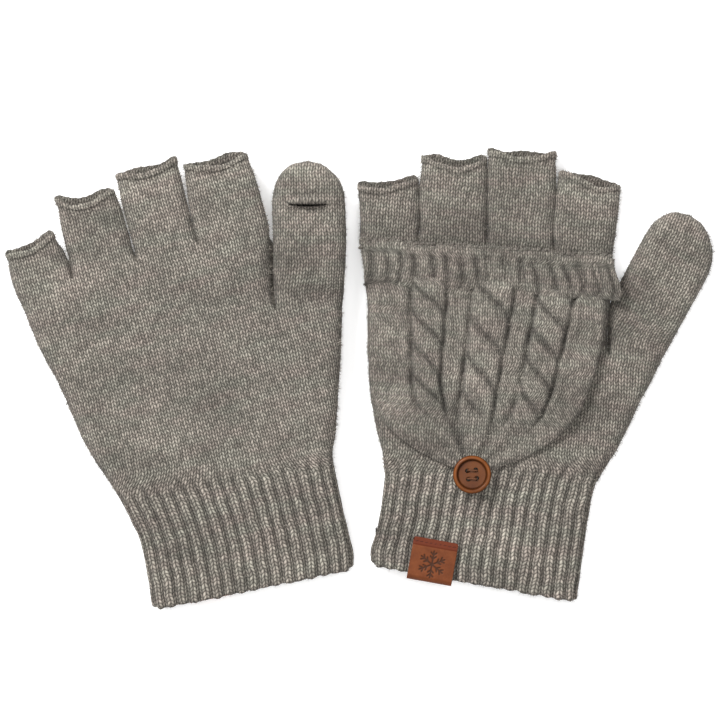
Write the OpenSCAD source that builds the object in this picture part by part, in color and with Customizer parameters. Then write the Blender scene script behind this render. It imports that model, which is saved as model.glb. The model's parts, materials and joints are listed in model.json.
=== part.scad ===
/* [Knit fabric] */
// Wall of the cuff, palm and thumb tubes
knit_wall = 1.8; // [1.5:0.1:1.9]
// Wall of the four half-finger tubes
stub_wall = 1.5; // [1.2:0.1:1.6]
// Thickness of a mitten lying flat, both layers and the space between them
hand_t = 9; // [8.8:0.1:9.4]
// Thickness of a half finger lying flat
stub_t = 7.5; // [7.3:0.1:7.5]
// Roundness of the folded side edges, across the tube
edge_r = 6; // [5:0.5:7]
// Height of the turned hem at the bottom of the cuff
hem_h = 4; // [3:0.5:5]
// Length of the curled bind-off edge of a half finger
rim_h = 2.2; // [1.8:0.2:3]

/* [Flip cap] */
// Thickness of one layer of the cap
cap_t = 1.6; // [1.4:0.1:1.6]
// Height of the seam line that the cap turns about, over the back of the hand
seam_up = 0.5; // [0.4:0.1:0.6]
// Distance from the seam line to the centre of the button
cap_len = 90; // [88:1:92]
// Height of the ribbed band at the mouth of the cap
band_h = 17.5; // [16:0.5:18]
// Relief of the cables over the cap
cable_t = 1.1; // [0.8:0.1:1.1]
// Width of one cable
cable_w = 11; // [9:0.5:12]

/* [Button] */
// Diameter of the button
button_d = 15; // [14:0.5:15.5]
// Thickness of the button at its rim
button_t = 3; // [2.6:0.1:3]
// Diameter of the sunk middle of the button
recess_d = 11.4; // [10:0.2:12]
// Diameter of each thread hole
hole_d = 1.8; // [1.6:0.1:2]
// Distance between neighbouring thread holes
hole_gap = 3.3; // [3:0.1:3.6]

/* [Label] */
// Width and visible height of the folded label
label_w = 16.5; // [14:0.5:18]
// Thickness of the label leather
label_t = 1.1; // [0.9:0.1:1.2]

/* [Thumb slit] */
// Height of the bound edge on each side of the slit
lip_h = 1.2; // [1:0.1:1.5]

/* [Hidden] */

arc_steps = 6;
ring_n = 2 * (arc_steps + 1);
layer_z = seam_up + 0.1;
front_z = layer_z + cap_t + 0.25;
button_z = layer_z + cap_t + 0.5;
stack_t = button_z + button_t;
label_gap = 0.3;
round_fn = 48;

yarn_colour = [0.50, 0.47, 0.43];
rib_colour = [0.47, 0.44, 0.40];
wood_colour = [0.62, 0.36, 0.18];
leather_colour = [0.62, 0.34, 0.20];
thread_colour = [0.36, 0.22, 0.14];

// A row runs across a tube: its left end, its right end and the height of its underside.
function row(left, right, lift = 0) = [left, right, lift];
function mix(a, b, f) = a * (1 - f) + b * f;
function mix_row(a, b, f) = [mix(a[0], b[0], f), mix(a[1], b[1], f), mix(a[2], b[2], f)];
function row_gap(a, b) = norm((b[0] + b[1] - a[0] - a[1]) / 2);
function upto(list, last) = [for (i = [0:last]) list[i]];

// Each mitten lies with its fingers away and its thumb to the right. The left one shows its
// back, so its cap is above; the right one shows its palm, so its cap is under it.
left_cuff_rows = [row([4.5, -72], [85.5, -86.5]), row([8.5, -52], [89, -55]), row([10.5, -36], [93, -40])];
left_palm_rows = [
    row([10.5, -35.8], [93.1, -39.8]), row([7.5, -22], [103, -23]), row([4.5, -8], [110, -8]),
    row([3.8, 8], [114, -1]), row([3.8, 24], [117, 5])
];
left_upper_rows = [row([3.8, 24.2], [96, 8.8]), row([2.5, 40], [97.5, 30]), row([1, 55], [99.7, 48.4])];
left_stub_rows = [
    [row([0.8, 55.3], [23.8, 53.8]), row([-0.5, 76.5], [22.5, 79])],
    [row([24.3, 53.7], [49.8, 52]), row([25, 87], [49.8, 88])],
    [row([50.3, 51.9], [75.7, 50.3]), row([51.2, 90], [77, 88.5])],
    [row([76.2, 50.2], [99.7, 48.7]), row([78.7, 82], [102.7, 77])]
];
left_thumb_rows = [
    row([97, 8.6], [117.2, 5.3]), row([97.3, 22], [120.5, 11.5]), row([103, 39.5], [129, 27]),
    row([110, 52.8], [136.5, 41.2])
];
left_hood_rows = [
    row([110.2, 53.2], [136.7, 41.6]), row([114.5, 59.5], [138.5, 49]),
    row([120.5, 63.5], [137, 56.3]), row([126, 65.5], [134, 62])
];

raised = stack_t;
hem_lift = 2.1;
right_cuff_rows = [
    row([-80.5, -90], [-2, -73.5], hem_lift), row([-87.5, -61], [-5, -52], hem_lift + 0.8),
    row([-95.5, -44], [-10, -33], raised)
];
right_palm_rows = [
    row([-95.6, -43.8], [-10, -32.8], raised), row([-106, -28], [-9, -22], raised),
    row([-115, -8], [-7.6, -5], raised), row([-124, 11], [-7.3, 12], raised),
    row([-131.5, 27], [-6.3, 27], raised)
];
right_upper_rows = [
    row([-131.5, 27.2], [-34.2, 27.2], raised), row([-134.3, 32], [-35, 60], raised)
];
stub_raised = raised + hand_t - stub_t;
right_stub_rows = [
    [row([-134.3, 32.3], [-111.1, 38.9], stub_raised), row([-138.5, 48.7], [-120, 58], stub_raised)],
    [row([-110.6, 39], [-87.2, 45.6], stub_raised), row([-118.8, 70.3], [-96, 75], stub_raised)],
    [row([-86.7, 45.8], [-63.4, 52.3], stub_raised), row([-94.8, 80.5], [-72, 86.4], stub_raised)],
    [row([-62.9, 52.5], [-35.2, 60.3], stub_raised), row([-68.5, 84.8], [-44.2, 89.1], stub_raised)]
];
right_thumb_rows = [
    row([-33.2, 27.2], [-6.3, 27.2], raised), row([-34, 48], [-5.2, 48], raised),
    row([-34, 67.5], [-5.6, 67.5], raised)
];
right_hood_rows = [
    row([-34, 67.9], [-5.6, 67.9], raised), row([-32.9, 76], [-7.2, 76], raised),
    row([-28.5, 82], [-12, 82], raised), row([-24, 85.4], [-16, 85.4], raised)
];

// How each mitten lies: its rows, which way its back faces, its seam line and its label.
BACK_UP = 1;
BACK_DOWN = -1;
left = [
    left_cuff_rows, left_palm_rows, left_upper_rows, left_stub_rows, left_thumb_rows, left_hood_rows,
    BACK_UP, hand_t, [50.5, 52.5], -4, [28.5, -76.3, hand_t], -10.2
];
right = [
    right_cuff_rows, right_palm_rows, right_upper_rows, right_stub_rows, right_thumb_rows,
    right_hood_rows, BACK_DOWN, raised, [-84.9, 47], 16.4, [-57, -85, hem_lift], 11.9
];
CUFF = 0;
PALM = 1;
UPPER = 2;
STUBS = 3;
THUMB = 4;
HOOD = 5;
FACING = 6;
BACK_Z = 7;
SEAM = 8;
SEAM_TURN = 9;
LABEL_AT = 10;
LABEL_TURN = 11;

// The closed outline of a flattened tube across one row, pulled in by inset.
function outline(r, t, inset) =
    let (
        span = r[1] - r[0],
        along = span / norm(span),
        centre = (r[0] + r[1]) / 2,
        half_w = norm(span) / 2 - inset,
        half_t = t / 2 - inset,
        corner = min(edge_r - inset, half_w)
    )
    [
        for (side = [1, -1])
            for (k = [0:arc_steps])
                let (
                    turn = -90 + 180 * k / arc_steps,
                    across = side * (half_w - corner + corner * cos(turn))
                )
                [
                    centre.x + across * along.x,
                    centre.y + across * along.y,
                    r[2] + t / 2 + side * half_t * sin(turn)
                ]
    ];

// Triangles that join ring number i to the next one; first is the index of ring 0.
function skin(first, i) = [
    for (k = [0:ring_n - 1])
        let (a = first + i * ring_n, b = a + ring_n, n = (k + 1) % ring_n)
        each [[a + k, b + k, b + n], [a + k, b + n, a + n]]
];
function band(outer, inner) = [
    for (k = [0:ring_n - 1])
        let (n = (k + 1) % ring_n)
        each [[outer + k, outer + n, inner + n], [outer + k, inner + n, inner + k]]
];
function lid(first) = [for (k = [1:ring_n - 2]) [first, first + k, first + k + 1]];
function flipped(faces) = [for (f = faces) [f[2], f[1], f[0]]];

// A hollow flattened tube through the rows, open at both ends or closed at its last row.
module knit_tube(rows, t, wall, closed = false) {
    count = len(rows);
    inner_rows = closed ? upto(rows, count - 2) : rows;
    inner_count = len(inner_rows);
    outer_points = [for (r = rows) each outline(r, t, 0)];
    inner_points = [for (r = inner_rows) each outline(r, t, wall)];
    start = count * ring_n;
    last_outer = (count - 1) * ring_n;
    last_inner = start + (inner_count - 1) * ring_n;
    ends = closed
        ? concat(flipped(lid(last_outer)), lid(last_inner))
        : flipped(band(last_outer, last_inner));
    polyhedron(
        points = concat(outer_points, inner_points),
        faces = concat(
            [for (i = [0:count - 2]) each skin(0, i)],
            [for (i = [0:inner_count - 2]) each flipped(skin(start, i))],
            band(0, start),
            ends
        ),
        convexity = 6
    );
}

// A solid flattened pad through the rows, each with its own thickness as a fourth value.
module knit_pad(rows, t) {
    count = len(rows);
    polyhedron(
        points = [for (r = rows) each outline(r, t, 0)],
        faces = concat(
            [for (i = [0:count - 2]) each skin(0, i)],
            lid(0),
            flipped(lid((count - 1) * ring_n))
        ),
        convexity = 4
    );
}

// Puts its children on the back of the mitten: the seam line is the x axis, the cap runs
// towards -y, and z is the height over the back.
module on_back(m) {
    translate([m[SEAM].x, m[SEAM].y, m[BACK_Z]])
        rotate([0, 0, m[SEAM_TURN]])
            mirror([0, 0, m[FACING] == BACK_UP ? 0 : 1])
                children();
}

// Puts its children at the hem of the back layer, with the hem as the x axis.
module on_hem(m) {
    translate(m[LABEL_AT])
        rotate([0, 0, m[LABEL_TURN]])
            mirror([0, 0, m[FACING] == BACK_UP ? 0 : 1])
                children();
}

module cuff(m) {
    rows = m[CUFF];
    share = hem_h / row_gap(rows[0], rows[1]);
    start = mix_row(rows[0], rows[1], share);
    color(rib_colour) knit_tube([start, rows[1], rows[2]], hand_t, knit_wall);
}

module cuff_hem(m) {
    rows = m[CUFF];
    share = (hem_h - 0.1) / row_gap(rows[0], rows[1]);
    color(rib_colour) knit_tube([rows[0], mix_row(rows[0], rows[1], share)], hand_t, knit_wall);
}

module lower_palm(m) {
    color(yarn_colour) knit_tube(m[PALM], hand_t, knit_wall);
}

module upper_palm(m) {
    color(yarn_colour) knit_tube(m[UPPER], hand_t, knit_wall);
}

function rim_row(rows, back) = mix_row(rows[0], rows[1], 1 - back / row_gap(rows[0], rows[1]));

module finger_tube(m, which) {
    rows = m[STUBS][which];
    color(yarn_colour) knit_tube([rows[0], rim_row(rows, rim_h + 0.1)], stub_t, stub_wall);
}

module finger_rims(m) {
    color(rib_colour)
        for (rows = m[STUBS])
            knit_tube([rim_row(rows, rim_h), rows[1]], stub_t, stub_wall + 0.2);
}

// The thumb is cut across at the slit; a bound edge of height lip_h faces it on each side.
function before_slit(rows, back) =
    let (last = len(rows) - 1)
    mix_row(rows[last - 1], rows[last], 1 - back / row_gap(rows[last - 1], rows[last]));
function after_slit(rows, on) = mix_row(rows[0], rows[1], on / row_gap(rows[0], rows[1]));

module thumb_tube(m) {
    rows = m[THUMB];
    shown = concat(upto(rows, len(rows) - 2), [before_slit(rows, lip_h + 0.1)]);
    color(yarn_colour) knit_tube(shown, hand_t, knit_wall);
}

module thumb_hood(m) {
    rows = m[HOOD];
    shown = concat([after_slit(rows, lip_h + 0.1)], [for (i = [1:len(rows) - 1]) rows[i]]);
    color(yarn_colour) knit_tube(shown, hand_t, knit_wall, closed = true);
}

module slit_lower_lip(m) {
    rows = m[THUMB];
    color(rib_colour) knit_tube([before_slit(rows, lip_h), rows[len(rows) - 1]], hand_t, knit_wall);
}

module slit_upper_lip(m) {
    rows = m[HOOD];
    color(rib_colour) knit_tube([rows[0], after_slit(rows, lip_h)], hand_t, knit_wall);
}

stitch_r = 0.22;
stitch_len = 3;
stitch_pitch = 4.5;
stitch_reach = 42;

module knuckle_stitches(m) {
    color(thread_colour)
        on_back(m)
            for (x = [-stitch_reach:stitch_pitch:stitch_reach])
                translate([x, -1.2, layer_z / 2])
                    rotate([90, 0, 0])
                        cylinder(r = stitch_r, h = stitch_len, $fn = 16);
}

// Outline of the cap: distance down from the seam line, then its reach to the left and right.
cap_shape = [
    [0.6, 48, 48], [25, 45.5, 47.5], [45, 43.5, 45.5], [58, 42, 42], [66, 39.5, 38]
];
cap_back_end = [70, 36, 34];

module cap_back(m) {
    shape = concat(cap_shape, [cap_back_end]);
    color(yarn_colour)
        on_back(m)
            translate([0, 0, layer_z])
                linear_extrude(cap_t)
                    polygon(concat(
                        [for (s = shape) [s[2] - 1, -s[0]]],
                        [for (i = [len(shape) - 1:-1:0]) [1 - shape[i][1], -shape[i][0]]]
                    ));
}

// The palm layer of the cap runs flat to the end of the back layer, then dips under the button.
cap_front_rows = [
    [band_h + 0.2, 46.8, 48, 0], [35, 44.5, 47, 0], [50, 43, 45, 0], [60, 41.5, 41.5, 0],
    [70, 36.5, 34.5, 0], [76, 31.5, 29, -0.8], [81, 24.5, 22, -1.5], [84.5, 16, 15, -1.7],
    [86.6, 9, 9, -1.75]
];

module cap_front(m) {
    color(yarn_colour)
        on_back(m)
            knit_pad(
                [
                    for (i = [len(cap_front_rows) - 1:-1:0])
                        let (s = cap_front_rows[i])
                        row([-s[1], -s[0]], [s[2], -s[0]], front_z + s[3])
                ],
                cap_t
            );
}

edge_rod_r = 1.5;

module cap_band(m) {
    top = 2 * edge_rod_r + 0.1;
    color(rib_colour)
        on_back(m)
            translate([0, 0, front_z])
                linear_extrude(cap_t + cable_t)
                    polygon([[-49, -top], [50, -top], [52.5, -band_h], [-47, -band_h]]);
}

module cap_band_edge(m) {
    color(rib_colour)
        on_back(m)
            translate([-49.5, -edge_rod_r, front_z + edge_rod_r])
                rotate([0, 90, 0])
                    cylinder(r = edge_rod_r, h = 100, $fn = round_fn);
}

cable_top = band_h + 0.4;
cable_bend = 45;
cable_end = 69.5;
cable_x = [[-23.5, -21, -9.5], [0.5, 0.5, 0], [24.5, 22.5, 10]];

module cap_cables(m) {
    half = cable_w / 2;
    tip = cable_w / 4;
    color(rib_colour)
        on_back(m)
            translate([0, 0, front_z + cap_t])
                linear_extrude(cable_t)
                    for (x = cable_x)
                        polygon([
                            [x[0] - half, -cable_top], [x[1] - half, -cable_bend],
                            [x[2] - tip, -cable_end], [x[2] + tip, -cable_end],
                            [x[1] + half, -cable_bend], [x[0] + half, -cable_top]
                        ]);
}

loop_r = 2.4;
loop_yarn_r = 0.55;

module button_loop(m) {
    color(rib_colour)
        on_back(m)
            translate([0, -cap_len, layer_z + loop_yarn_r + 0.3])
                rotate_extrude($fn = round_fn)
                    translate([loop_r, 0])
                        circle(r = loop_yarn_r, $fn = 24);
}

module button_holes(r, low, high) {
    for (x = [-1, 1])
        for (y = [-1, 1])
            translate([x * hole_gap / 2, y * hole_gap / 2, low])
                cylinder(r = r, h = high - low, $fn = round_fn);
}

module button(m) {
    dish = 1;
    color(wood_colour)
        on_back(m)
            translate([0, -cap_len, button_z])
                difference() {
                    cylinder(d = button_d, h = button_t, $fn = round_fn);
                    translate([0, 0, button_t - dish])
                        cylinder(d = recess_d, h = dish + 1, $fn = round_fn);
                    button_holes(hole_d / 2, -1, button_t);
                }
}

thread_r = 0.35;
shank_r = 1.3;

module button_thread(m) {
    face = button_t - 1;
    color(thread_colour)
        on_back(m)
            translate([0, -cap_len, 0]) {
                translate([0, 0, 0.15])
                    cylinder(r = shank_r, h = button_z - 0.3, $fn = round_fn);
                translate([-hole_gap / 2 - thread_r, -hole_gap / 2 - thread_r, button_z - 0.15])
                    cube([hole_gap + 2 * thread_r, hole_gap + 2 * thread_r, 0.1]);
                translate([0, 0, button_z])
                    button_holes(thread_r, -0.15, face + 0.1 + thread_r);
                for (y = [-1, 1])
                    translate([-hole_gap / 2, y * hole_gap / 2, button_z + face + 0.1 + thread_r])
                        rotate([0, 90, 0])
                            cylinder(r = thread_r, h = hole_gap, $fn = 16);
            }
}

label_past = 3;
label_tuck = 6;

module label(m) {
    depth = knit_wall + 2 * (label_gap + label_t);
    color(leather_colour)
        on_hem(m)
            translate([-label_w / 2, -label_past, label_t + label_gap - depth])
                difference() {
                    cube([label_w, label_w, depth]);
                    translate([-1, label_t, label_t])
                        cube([label_w + 2, label_w, depth - 2 * label_t]);
                    translate([-1, label_past + label_tuck, -1])
                        cube([label_w + 2, label_w, label_t + 2]);
                }
}

module label_stitches(m) {
    pitch = 1.8;
    reach = label_w / 2 - 1.4;
    color(thread_colour)
        on_hem(m)
            for (x = [-reach:pitch:reach])
                translate([x, label_w - label_past - 3, label_gap + label_t + stitch_r + 0.02])
                    rotate([0, 90, 0])
                        cylinder(r = stitch_r, h = 1.1, $fn = 16);
}

cuff(left);  // left_cuff
cuff_hem(left);  // left_cuff_hem
lower_palm(left);  // left_lower_palm
upper_palm(left);  // left_upper_palm
finger_tube(left, 0);  // left_pinky_tube
finger_tube(left, 1);  // left_ring_tube
finger_tube(left, 2);  // left_middle_tube
finger_tube(left, 3);  // left_index_tube
finger_rims(left);  // left_finger_rims
thumb_tube(left);  // left_thumb_tube
thumb_hood(left);  // left_thumb_hood
slit_lower_lip(left);  // left_slit_lower_lip
slit_upper_lip(left);  // left_slit_upper_lip
knuckle_stitches(left);  // left_knuckle_stitches
cap_back(left);  // left_cap_back
cap_front(left);  // left_cap_front
cap_band(left);  // left_cap_band
cap_band_edge(left);  // left_cap_band_edge
cap_cables(left);  // left_cap_cables
button_loop(left);  // left_button_loop
button(left);  // left_button
button_thread(left);  // left_button_thread
label(left);  // left_label
label_stitches(left);  // left_label_stitches
cuff(right);  // right_cuff
cuff_hem(right);  // right_cuff_hem
lower_palm(right);  // right_lower_palm
upper_palm(right);  // right_upper_palm
finger_tube(right, 0);  // right_pinky_tube
finger_tube(right, 1);  // right_ring_tube
finger_tube(right, 2);  // right_middle_tube
finger_tube(right, 3);  // right_index_tube
finger_rims(right);  // right_finger_rims
thumb_tube(right);  // right_thumb_tube
thumb_hood(right);  // right_thumb_hood
slit_lower_lip(right);  // right_slit_lower_lip
slit_upper_lip(right);  // right_slit_upper_lip
knuckle_stitches(right);  // right_knuckle_stitches
cap_back(right);  // right_cap_back
cap_front(right);  // right_cap_front
cap_band(right);  // right_cap_band
cap_band_edge(right);  // right_cap_band_edge
cap_cables(right);  // right_cap_cables
button_loop(right);  // right_button_loop
button(right);  // right_button
button_thread(right);  // right_button_thread
label(right);  // right_label
label_stitches(right);  // right_label_stitches
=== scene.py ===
import json
import math
import random

import bmesh
import bpy
import numpy as np
from bpy.props import FloatProperty, FloatVectorProperty, IntProperty, PointerProperty
from mathutils import Matrix, Vector, noise


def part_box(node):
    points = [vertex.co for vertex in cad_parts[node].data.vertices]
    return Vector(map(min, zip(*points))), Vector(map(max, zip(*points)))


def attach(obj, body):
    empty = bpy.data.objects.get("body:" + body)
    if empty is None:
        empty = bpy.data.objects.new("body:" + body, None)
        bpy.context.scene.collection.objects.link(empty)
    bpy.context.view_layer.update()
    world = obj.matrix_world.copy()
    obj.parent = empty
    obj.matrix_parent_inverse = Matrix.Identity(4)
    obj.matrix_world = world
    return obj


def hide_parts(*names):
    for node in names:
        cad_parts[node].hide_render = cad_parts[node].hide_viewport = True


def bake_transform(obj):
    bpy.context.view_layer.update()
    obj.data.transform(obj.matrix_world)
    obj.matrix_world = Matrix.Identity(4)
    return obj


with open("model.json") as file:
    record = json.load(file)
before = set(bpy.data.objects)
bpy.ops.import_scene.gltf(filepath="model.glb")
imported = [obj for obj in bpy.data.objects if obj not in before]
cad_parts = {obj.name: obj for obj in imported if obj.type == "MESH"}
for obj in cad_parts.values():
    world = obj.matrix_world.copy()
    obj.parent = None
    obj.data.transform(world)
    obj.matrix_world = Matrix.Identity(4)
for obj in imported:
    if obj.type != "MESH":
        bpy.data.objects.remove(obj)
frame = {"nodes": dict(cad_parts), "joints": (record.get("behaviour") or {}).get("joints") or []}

bl_info = {
    "name": "Convertible Flip-Top Mittens",
    "version": (1, 0, 0),
    "blender": (4, 5, 0),
    "location": "3D View > Sidebar > Mittens",
    "description": "Knits a pair of half-finger mittens with buttoned flip caps",
    "category": "Object",
}

MM = 0.001
TAU = 2 * math.pi
SIDES = ("left", "right")
COLUMNS = 150  # vertices across one layer of the hand
WALL = 12  # vertices down the side wall between two fingers
ROW_STEP = 1.1  # mm between rings of a tube
MORPH = 7.0  # mm over which a finger takes its own round shape
RIB_END = 9.0  # mm into the palm at which the cuff's ribs have died away
TIP_LENGTH = 9.0  # mm of a half finger that its curved edge pulls on
HEM_WALL = 1.3  # mm of knit at the turned hem
INNER_HEM, HEM_TURN = 8, 5  # rings up the inside of the cuff, and rings round its fold
RIM_CURL = 1.2  # mm, how fat the rolled edge of a finger is
LIP = 0.45  # mm, thickness of the knit edge round the slit
UPPER_LIP = 0.85  # mm that the upper edge of the slit is fatter
HALF_SLIT = 6.6  # mm that the slit opens to either side of the middle of the thumb

# Rows across each mitten, in mm: left end x, y, then right end x, y.
ROWS = {
    "left": {
        "cuff": [(4.5, -72, 85.5, -86.5), (4.7, -66, 87, -74.5), (6.8, -59, 88.4, -63),
                 (9, -48, 90.2, -50), (10.5, -38, 92.5, -40.5)],
        "palm": [(10.5, -38, 92.5, -40.5), (9.5, -29, 99.5, -30), (7, -20, 105, -20),
                 (4.7, -8, 110.5, -8), (3.9, 8, 114.5, -1), (3.7, 22, 118, 7)],
        "upper": [(3.7, 22, 97, 9.8), (3.2, 34, 98.6, 24), (1.4, 47, 99.4, 38), (0.8, 55, 99.7, 48.6)],
        "tips": [(-0.4, 76.8, 22.7, 79), (25, 87.2, 49.8, 88), (51.2, 90, 77, 88.6), (78.7, 82, 102.6, 77)],
        "thumb": [(97, 9.8, 118, 7), (96.9, 20, 122.9, 15.3), (97.8, 29, 126.8, 22.5),
                  (103, 40, 130.3, 29.5), (106.4, 46.6, 133.6, 35.4), (110, 52.8, 136.6, 41.3),
                  (112.5, 57.2, 138.3, 46), (115.6, 61.2, 138.5, 51.2), (119.3, 63.9, 137.3, 56.1),
                  (123.4, 65.3, 134.9, 60.4), (127.2, 65.4, 132, 63.3)],
    },
    "right": {
        "cuff": [(-80.5, -89.5, -2, -73.5), (-82.3, -79, -2.3, -68), (-85.5, -64, -4.3, -57.5),
                 (-88.6, -56, -7, -45.5), (-91.5, -50, -9.6, -34.5)],
        "palm": [(-91.5, -50, -9.6, -34.5), (-98.6, -39.5, -10.2, -28.5), (-106, -28, -9, -21),
                 (-111.7, -16, -8.2, -11), (-118.4, -0.5, -7.5, 2), (-125.2, 12, -7.1, 13),
                 (-131.5, 27, -6.2, 27)],
        "upper": [(-131.5, 27, -33.6, 27), (-133.2, 30.5, -34.2, 44), (-134.5, 33, -35.2, 60.3)],
        "tips": [(-138.3, 48.8, -119.8, 57.6), (-118.8, 70.3, -96.2, 75.2), (-94.8, 80.3, -72, 86.2),
                 (-68.6, 84.6, -44.2, 89)],
        "thumb": [(-33.6, 27, -6.2, 27), (-33.9, 40, -5.3, 40), (-34, 55, -5.2, 55),
                  (-34, 67.4, -5.5, 67.4), (-33.6, 72.5, -6, 72.5), (-32.2, 77.6, -7.6, 77.6),
                  (-29.3, 81.7, -11.4, 81.7), (-25.6, 84.3, -15, 84.3), (-22, 85.4, -18.5, 85.4)],
    },
}
FINGERS = ("pinky", "ring", "middle", "index")
FINGER_SHARES = {  # where the width at the knuckles is parted between the fingers
    "left": (0.236, 0.497, 0.758),
    "right": (0.236, 0.479, 0.717),
}
SLIT_ROW = {"left": 5, "right": 3}  # which row of the thumb the slit lies along
LAID_ON = 0.12  # how far a slit that faces the floor still bulges


def joint(name):
    """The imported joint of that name."""
    return next(j for j in frame["joints"] if j["name"] == name)


def node_box(name):
    """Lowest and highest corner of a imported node, in mm."""
    low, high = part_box(name)
    return low / MM, high / MM


class Lay:
    """How one mitten lies: the height of its back, which way that faces and its seam line."""

    def __init__(self, side):
        self.side = side
        self.up = 1 if side == "left" else -1
        low, high = node_box(f"{side}_lower_palm")
        self.low, self.high = low.z, high.z
        self.back = high.z if self.up > 0 else low.z
        flip = joint(f"{side}_cap_flip")
        self.seam = Vector(flip["pos_m"][:2]) / MM
        self.along = Vector(flip["axis"][:2]) * -self.up
        button_low, button_high = node_box(f"{side}_button")
        self.button = (button_low + button_high) / 2
        self.reach = (self.button.xy - self.seam).length
        ring_low, ring_high = node_box(f"{side}_ring_tube")
        self.stub_t = ring_high.z - ring_low.z

    def place(self, u, v, h):
        """A point u along the seam, v down the cap and h over the back, in mm."""
        down = Vector((self.along.y, -self.along.x))
        flat = self.seam + self.along * u + down * v
        return Vector((flat.x, flat.y, self.back + self.up * h))


def mix(a, b, t):
    """The value that lies between a at 0 and b at 1."""
    return a + (b - a) * t


def ease(t):
    """A smooth step from 0 to 1."""
    t = min(1.0, max(0.0, t))
    return t * t * (3 - 2 * t)


def spline(points, t):
    """A smooth curve through points, which are tuples, at t from 0 to 1."""
    spans = len(points) - 1
    i = min(int(t * spans), spans - 1)
    f = t * spans - i
    p = [np.array(points[min(max(i + k, 0), spans)], float) for k in (-1, 0, 1, 2)]
    if i == 0:
        p[0] = 2 * p[1] - p[2]
    if i == spans - 1:
        p[3] = 2 * p[2] - p[1]
    return 0.5 * (
        2 * p[1]
        + (p[2] - p[0]) * f
        + (2 * p[0] - 5 * p[1] + 4 * p[2] - p[3]) * f * f
        + (3 * p[1] - p[0] - 3 * p[2] + p[3]) * f ** 3
    )


def even_rows(rows, step):
    """The rows again, evenly spaced along the middle of the tube."""
    dense = [spline(rows, i / 200) for i in range(201)]
    middle = np.array([[(r[0] + r[2]) / 2, (r[1] + r[3]) / 2] for r in dense])
    length = np.concatenate([[0], np.cumsum(np.linalg.norm(np.diff(middle, axis=0), axis=1))])
    count = max(2, round(length[-1] / step))
    places = np.interp(np.linspace(0, length[-1], count + 1), length, np.linspace(0, 1, 201))
    return [spline(rows, t) for t in places], length[-1]


def flat_ring(row, low, thick, count, edge=6.0):
    """Points and normals round a flattened tube whose layers each have count spans."""
    left, right = np.array(row[:2]), np.array(row[2:4])
    width = np.linalg.norm(right - left) / 2
    along = (right - left) / (2 * width)
    edge = min(edge, width)
    turn = np.linspace(0, math.pi / 2, 24)
    x = np.concatenate([-width + edge - edge * np.cos(turn), width - edge + edge * np.sin(turn)])
    z = np.concatenate([np.sin(turn), np.cos(turn)]) * thick / 2
    length = np.concatenate([[0], np.cumsum(np.hypot(np.diff(x), np.diff(z)))])
    at = np.linspace(0, length[-1], count + 1)
    x, z = np.interp(at, length, x), np.interp(at, length, z)
    across = np.concatenate([x, x[-2:0:-1]])
    up = np.concatenate([z, -z[-2:0:-1]])
    before = np.roll(np.arange(len(across)), 1)
    after = np.roll(np.arange(len(across)), -1)
    tangent = np.stack([across[after] - across[before], up[after] - up[before]], 1)
    normal = np.stack([-tangent[:, 1], tangent[:, 0]], 1)
    normal /= np.maximum(np.linalg.norm(normal, axis=1, keepdims=True), 1e-9)
    centre = (left + right) / 2
    points = np.stack([
        centre[0] + along[0] * across, centre[1] + along[1] * across, low + thick / 2 + up
    ], 1)
    normals = np.stack([along[0] * normal[:, 0], along[1] * normal[:, 0], normal[:, 1]], 1)
    return points, normals


def part_ring(ring, first, last):
    """The part of a ring between two of its columns, closed by walls through the thickness."""
    half, total = len(ring) // 2, len(ring)
    top = [ring[k] for k in range(first, last + 1)]
    under = [ring[(total - k) % total] for k in range(last, first - 1, -1)]
    steps = [i / WALL for i in range(1, WALL)]
    right = [mix(top[-1], under[0], t) for t in steps] if last < half else []
    left = [mix(under[-1], top[0], t) for t in steps] if first > 0 else []
    if last == half:
        under = under[1:]
    if first == 0:
        under = under[:-1]
    middle = len(left) // 2
    return np.array(left[middle:] + top + right + under + left[:middle])


def stitch_grid(rings, axis, wale, course):
    """Stitch counts across and along for each vertex, laid flat over the fabric's own axis.

    Counts across run on round the edges by arc length, and the last column of a ring
    repeats its first one at the far side of the seam.
    """
    way = np.array([axis[0], axis[1], 0.0])
    way /= np.linalg.norm(way)
    cross = np.array([way[1], -way[0], 0.0])
    grid = []
    for ring in rings:
        closed = np.vstack([ring, ring[:1]])
        steps = np.diff(closed, axis=0)
        steps -= np.outer(steps @ way, way)
        arc = np.concatenate([[0], np.cumsum(np.linalg.norm(steps, axis=1))])
        top = len(ring) // 4
        across = arc - arc[top] + ring[top] @ cross
        grid.append(np.stack([across / wale, closed @ way / course], 1))
    return grid


class Tube:
    """Rings of fabric, with a stitch count across and along and a tone for each vertex, which mostly
    carries painted shade and light.
    """

    def __init__(self, points, normals, grid):
        self.points = points
        self.normals = normals
        self.grid = grid
        self.tones = [np.ones(len(ring)) for ring in points]

    def paint_side_shade(self):
        """Paints shade on the fabric where it turns down to the floor, as the light falls off there."""
        for shades, normals in zip(self.tones, self.normals):
            shades *= 0.5 + 0.5 * np.abs(normals[:, 2]) ** 0.5

    def push(self, amount, hollow_shade=0.4):
        """Moves each vertex along its normal by amount(ring, column, point), in mm, and paints shade into
        its tone where it sinks and light where it rises.
        """
        for r, ring in enumerate(self.points):
            for k in range(len(ring)):
                rise = amount(r, k, ring[k])
                ring[k] += self.normals[r][k] * rise
                # painted shade in the hollows, painted light on the rises
                self.tones[r][k] *= min(1.15, max(0.35, 1 + hollow_shade * rise))


def tube_between(rows, low, thick, count, start_ring=None, step=ROW_STEP, edge=6.0):
    """Rings through the rows; low and thick are functions of the share along the tube."""
    even, length = even_rows(rows, step)
    last = len(even) - 1
    points, normals = [], []
    for i, row in enumerate(even):
        share = i / last
        p, n = flat_ring(row, low(share), thick(share), count, edge)
        if start_ring is not None:
            keep = 1 - ease(share * length / MORPH)
            p = mix(p, start_ring, keep)
        points.append(p)
        normals.append(n)
    return points, normals, length


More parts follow.
